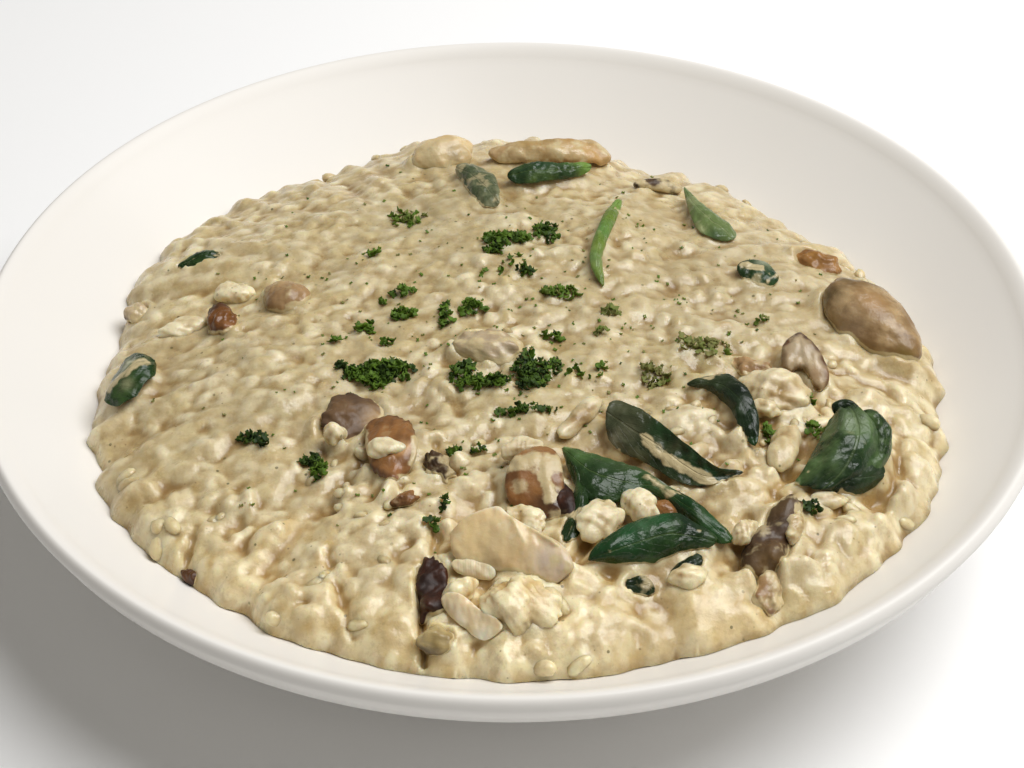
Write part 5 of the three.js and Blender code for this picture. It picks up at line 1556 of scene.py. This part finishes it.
# Where it lies: (x, y, half size in x and in y, leaf bits, tone); tone 0 is dark, 0.5 bright, 1 olive.
sprinkles = [
    (-28.5, -25.5, 7.5, 3.2, 150, 0.3), (-36.5, -24, 2.2, 2.6, 14, 0.1), (-30, -28.5, 3, 2, 30, 0.4),
    (-10.6, -27.4, 2.6, 3.6, 44, 0.25), (-9, -31.5, 3, 2, 26, 0.5), (-4, -31, 4, 2.2, 50, 0.25),
    (4, -28, 3.8, 6, 110, 0.2), (2.5, -40.5, 7, 1, 30, 0.3), (9, -26, 2, 4, 14, 0.3),
    (-4, 21, 3, 4.2, 60, 0.3), (1, 23.5, 3.5, 3, 40, 0.4), (8.5, 27, 3.2, 4.6, 46, 0.25),
    (-25.4, 38, 4.6, 5, 44, 0.7), (11, 1, 4.2, 2.4, 36, 0.65), (-14.8, -6.5, 1.6, 4.2, 26, 0.4),
    (-9, -4.5, 3.2, 2.8, 30, 0.45), (-25, 4, 2.8, 1.4, 18, 0.45), (-24.3, -5, 2.8, 1.8, 22, 0.4),
    (-54.5, -44.8, 3, 0.9, 18, 0.1), (-52, -47.2, 1.2, 1.2, 9, 0.1), (-42, -50.8, 2.2, 1.2, 20, 0.1),
    (-39.3, -54.8, 1.5, 2.6, 24, 0.5), (-33, -9, 2.2, 2.2, 22, 0.45), (-11.7, -52.2, 1.4, 1.7, 9, 0.35),
    (-6.6, -51.7, 1.4, 0.8, 6, 0.3), (-29, 1.2, 1.5, 1, 6, 0.3), (2.8, 8.5, 1.7, 1.5, 14, 0.15),
    (-32.4, 19.6, 1.5, 1.4, 8, 0.55), (-39.3, -14.7, 1.2, 1.2, 5, 0.4), (9.1, -14.7, 2.4, 0.9, 10, 0.45),
    (22.5, -5.8, 2, 2.4, 10, 0.85), (19.5, -13.7, 2, 0.8, 7, 0.9), (-27, -14.9, 1.5, 1.2, 9, 0.4),
    (30.8, -28.2, 3, 4, 26, 0.95), (42, -17, 6, 4.4, 40, 0.95), (56.5, -4.8, 1.2, 1, 5, 0.7),
    (53.5, -46, 1, 2.4, 12, 0.45), (62.5, -35, 1.6, 3.4, 16, 0.5), (63.5, -45, 1.8, 3, 16, 0.5),
    (59.6, -68, 1.8, 0.9, 10, 0.1), (-15.5, -73.5, 1.2, 1.2, 8, 0.3), (16, -28, 4, 3, 10, 0.5),
    (-3, 12, 8, 5, 10, 0.6), (-13.5, -69, 1.1, 1.3, 8, 0.15),
]


def parsleyShapes():
    draw = np.random.default_rng(parsley["shapeSeed"])
    shapes = []
    length, width = parsley["size"]
    waist, (cupped, bowed) = parsley["waist"], parsley["cupped"]
    for _ in range(parsley["shapes"]):
        bm = bmesh.new()
        bmesh.ops.create_grid(bm, x_segments=5, y_segments=2, size=0.5)
        lobes, curl, twist = [draw.uniform(*parsley[key]) for key in ("lobes", "curl", "twist")]
        for vertex in bm.verts:
            along, across = vertex.co.x + 0.5, vertex.co.y * 2
            half = waist + (1 - waist) * abs(math.sin(math.pi * lobes * along + 0.6))
            uneven = draw.uniform(-parsley["uneven"], parsley["uneven"])
            vertex.co.x = (along - 0.5) * length
            vertex.co.y = across * half * width / 2 + twist * (along - 0.5) ** 2
            vertex.co.z = curl * (across ** 2 * cupped + bowed * (along - 0.5) ** 2) + uneven
        bmesh.ops.solidify(bm, geom=bm.faces[:], thickness=parsley["thickness"])
        shapes.append(shapeArrays(bm))
    return shapes


herbLook = {
    "dark": paint(30, 52, 8), "bright": paint(84, 114, 24), "olive": paint(122, 120, 66),
    "shine": paint(100, 128, 38), "shiny": ((1.2, 2), 0.45, 0.75, 0, 0.5),
    "toBright": (0.05, 0.5), "toOlive": (0.6, 0.95), "relief": [(0.6, 2, 0.08)],
    "shader": {"Roughness": 0.6, "Specular IOR Level": 0.3},
}


def herbMaterial():
    material = newMaterial("parsleyLeaf")
    look, tone = herbLook, attribute(material, "tone")
    colour = mixed(material, between(material, tone, *look["toBright"]), look["dark"], look["bright"])
    colour = mixed(material, between(material, tone, *look["toOlive"]), colour, look["olive"])
    setShader(material, {
        **look["shader"],
        "Base Color": mixed(material, blotchy(material, *look["shiny"]), colour, look["shine"]),
        "Normal": bumped(material, grownRelief(material, look["relief"])),
    })
    return material


def tossed(draw, roll, pitch):  # any way round, and tilted by up to this much
    return turned(*draw.uniform((-roll, -pitch, 0), (roll, pitch, 360)))


def sprinkledParsley(draw):
    copies = []
    power, slope = parsley["piled"]
    for centreX, centreY, halfX, halfY, count, tone in sprinkles:
        dense = min(1.0, count / (halfX * halfY * parsley["crowded"]))
        for _ in range(count):
            angle, out = draw.uniform(0, 2 * np.pi), draw.uniform() ** parsley["inwards"]
            x, y = centreX + halfX * out * math.cos(angle), centreY + halfY * out * math.sin(angle)
            height = parsley["height"] * dense * draw.uniform() ** power * (1 - out ** 2 * slope)
            place = np.array([x, y, float(surfaceHeight(x, y)) + parsley["lift"] + height])
            turn = tossed(draw, *parsley["tilt"])
            shade = np.clip(tone + draw.normal() * parsley["toneSpread"], 0, 1)
            shape = draw.integers(parsley["shapes"])
            copies.append((shape, place, turn, draw.uniform(*parsley["scale"]), shade))
    return copies


def strayParsley(draw):
    copies = []
    strays = parsley["strays"]
    for _ in range(strays["count"]):
        x, y = draw.normal(strays["middle"], strays["spread"])
        if math.hypot(x, y) > strays["reach"] or sampled(fields["covered"], x, y) > 0.2:
            continue
        place = np.array([x, y, float(surfaceHeight(x, y)) + strays["lift"]])
        turn = tossed(draw, *strays["tilt"])
        shape = draw.integers(parsley["shapes"])
        copies.append((shape, place, turn, draw.uniform(*strays["scale"]), draw.uniform(*strays["tone"])))
    return copies


def makeParsley():
    draw = np.random.default_rng(parsley["seed"])
    copies = sprinkledParsley(draw) + strayParsley(draw)
    mesh = joinCopies("parsleyBits", parsleyShapes(), copies)
    placePiece("parsleyBits", mesh, herbMaterial())
    print("parsley bits:", len(copies))


# floor, light and camera

studio = {  # metres and watts
    "floorSize": 4.0, "floorColour": paint(252, 252, 252), "floorRoughness": 0.9,
    "worldColour": (1.0, 0.965, 0.89, 1), "worldStrength": 0.21,
    "lampPlace": (0.46, 0.12, 0.94), "lampSize": 0.9, "lampPower": 12.1,
    "cameraPlace": (0, -0.338063, 0.293581), "cameraPitch": 50.623, "lens": 65.246,
}


def makeStudio():
    bm = bmesh.new()
    bmesh.ops.create_grid(bm, x_segments=1, y_segments=1, size=studio["floorSize"])
    floor = addToScene("floor", asMesh(bm, "floor"))
    material = newMaterial("floorWhite")
    setShader(material, {"Base Color": studio["floorColour"], "Roughness": studio["floorRoughness"]})
    floor.data.materials.append(material)
    world = bpy.data.worlds.new("studioWorld")
    world.use_nodes = True
    sky = world.node_tree.nodes["Background"].inputs
    sky["Color"].default_value = studio["worldColour"]
    sky["Strength"].default_value = studio["worldStrength"]
    bpy.context.scene.world = world
    lamp = bpy.data.lights.new("keyLight", "AREA")
    lamp.shape, lamp.size, lamp.energy = "DISK", studio["lampSize"], studio["lampPower"]
    light = addToScene("keyLight", lamp)
    light.location = studio["lampPlace"]
    light.rotation_euler = (-light.location).to_track_quat("-Z", "Y").to_euler()
    camera = addToScene("camera", bpy.data.cameras.new("camera"))
    camera.location = studio["cameraPlace"]
    camera.rotation_euler = (math.radians(studio["cameraPitch"]), 0, 0)
    camera.data.lens = studio["lens"]
    bpy.context.scene.camera = camera
    bpy.context.scene.view_settings.view_transform = "Standard"
    print("studio set")


makeBowl()
creamyRice = riceMaterial()
makeRice(creamyRice)
makeGrains(creamyRice)
makeToppings()
makeLumps(creamyRice)
makeParsley()
makeStudio()
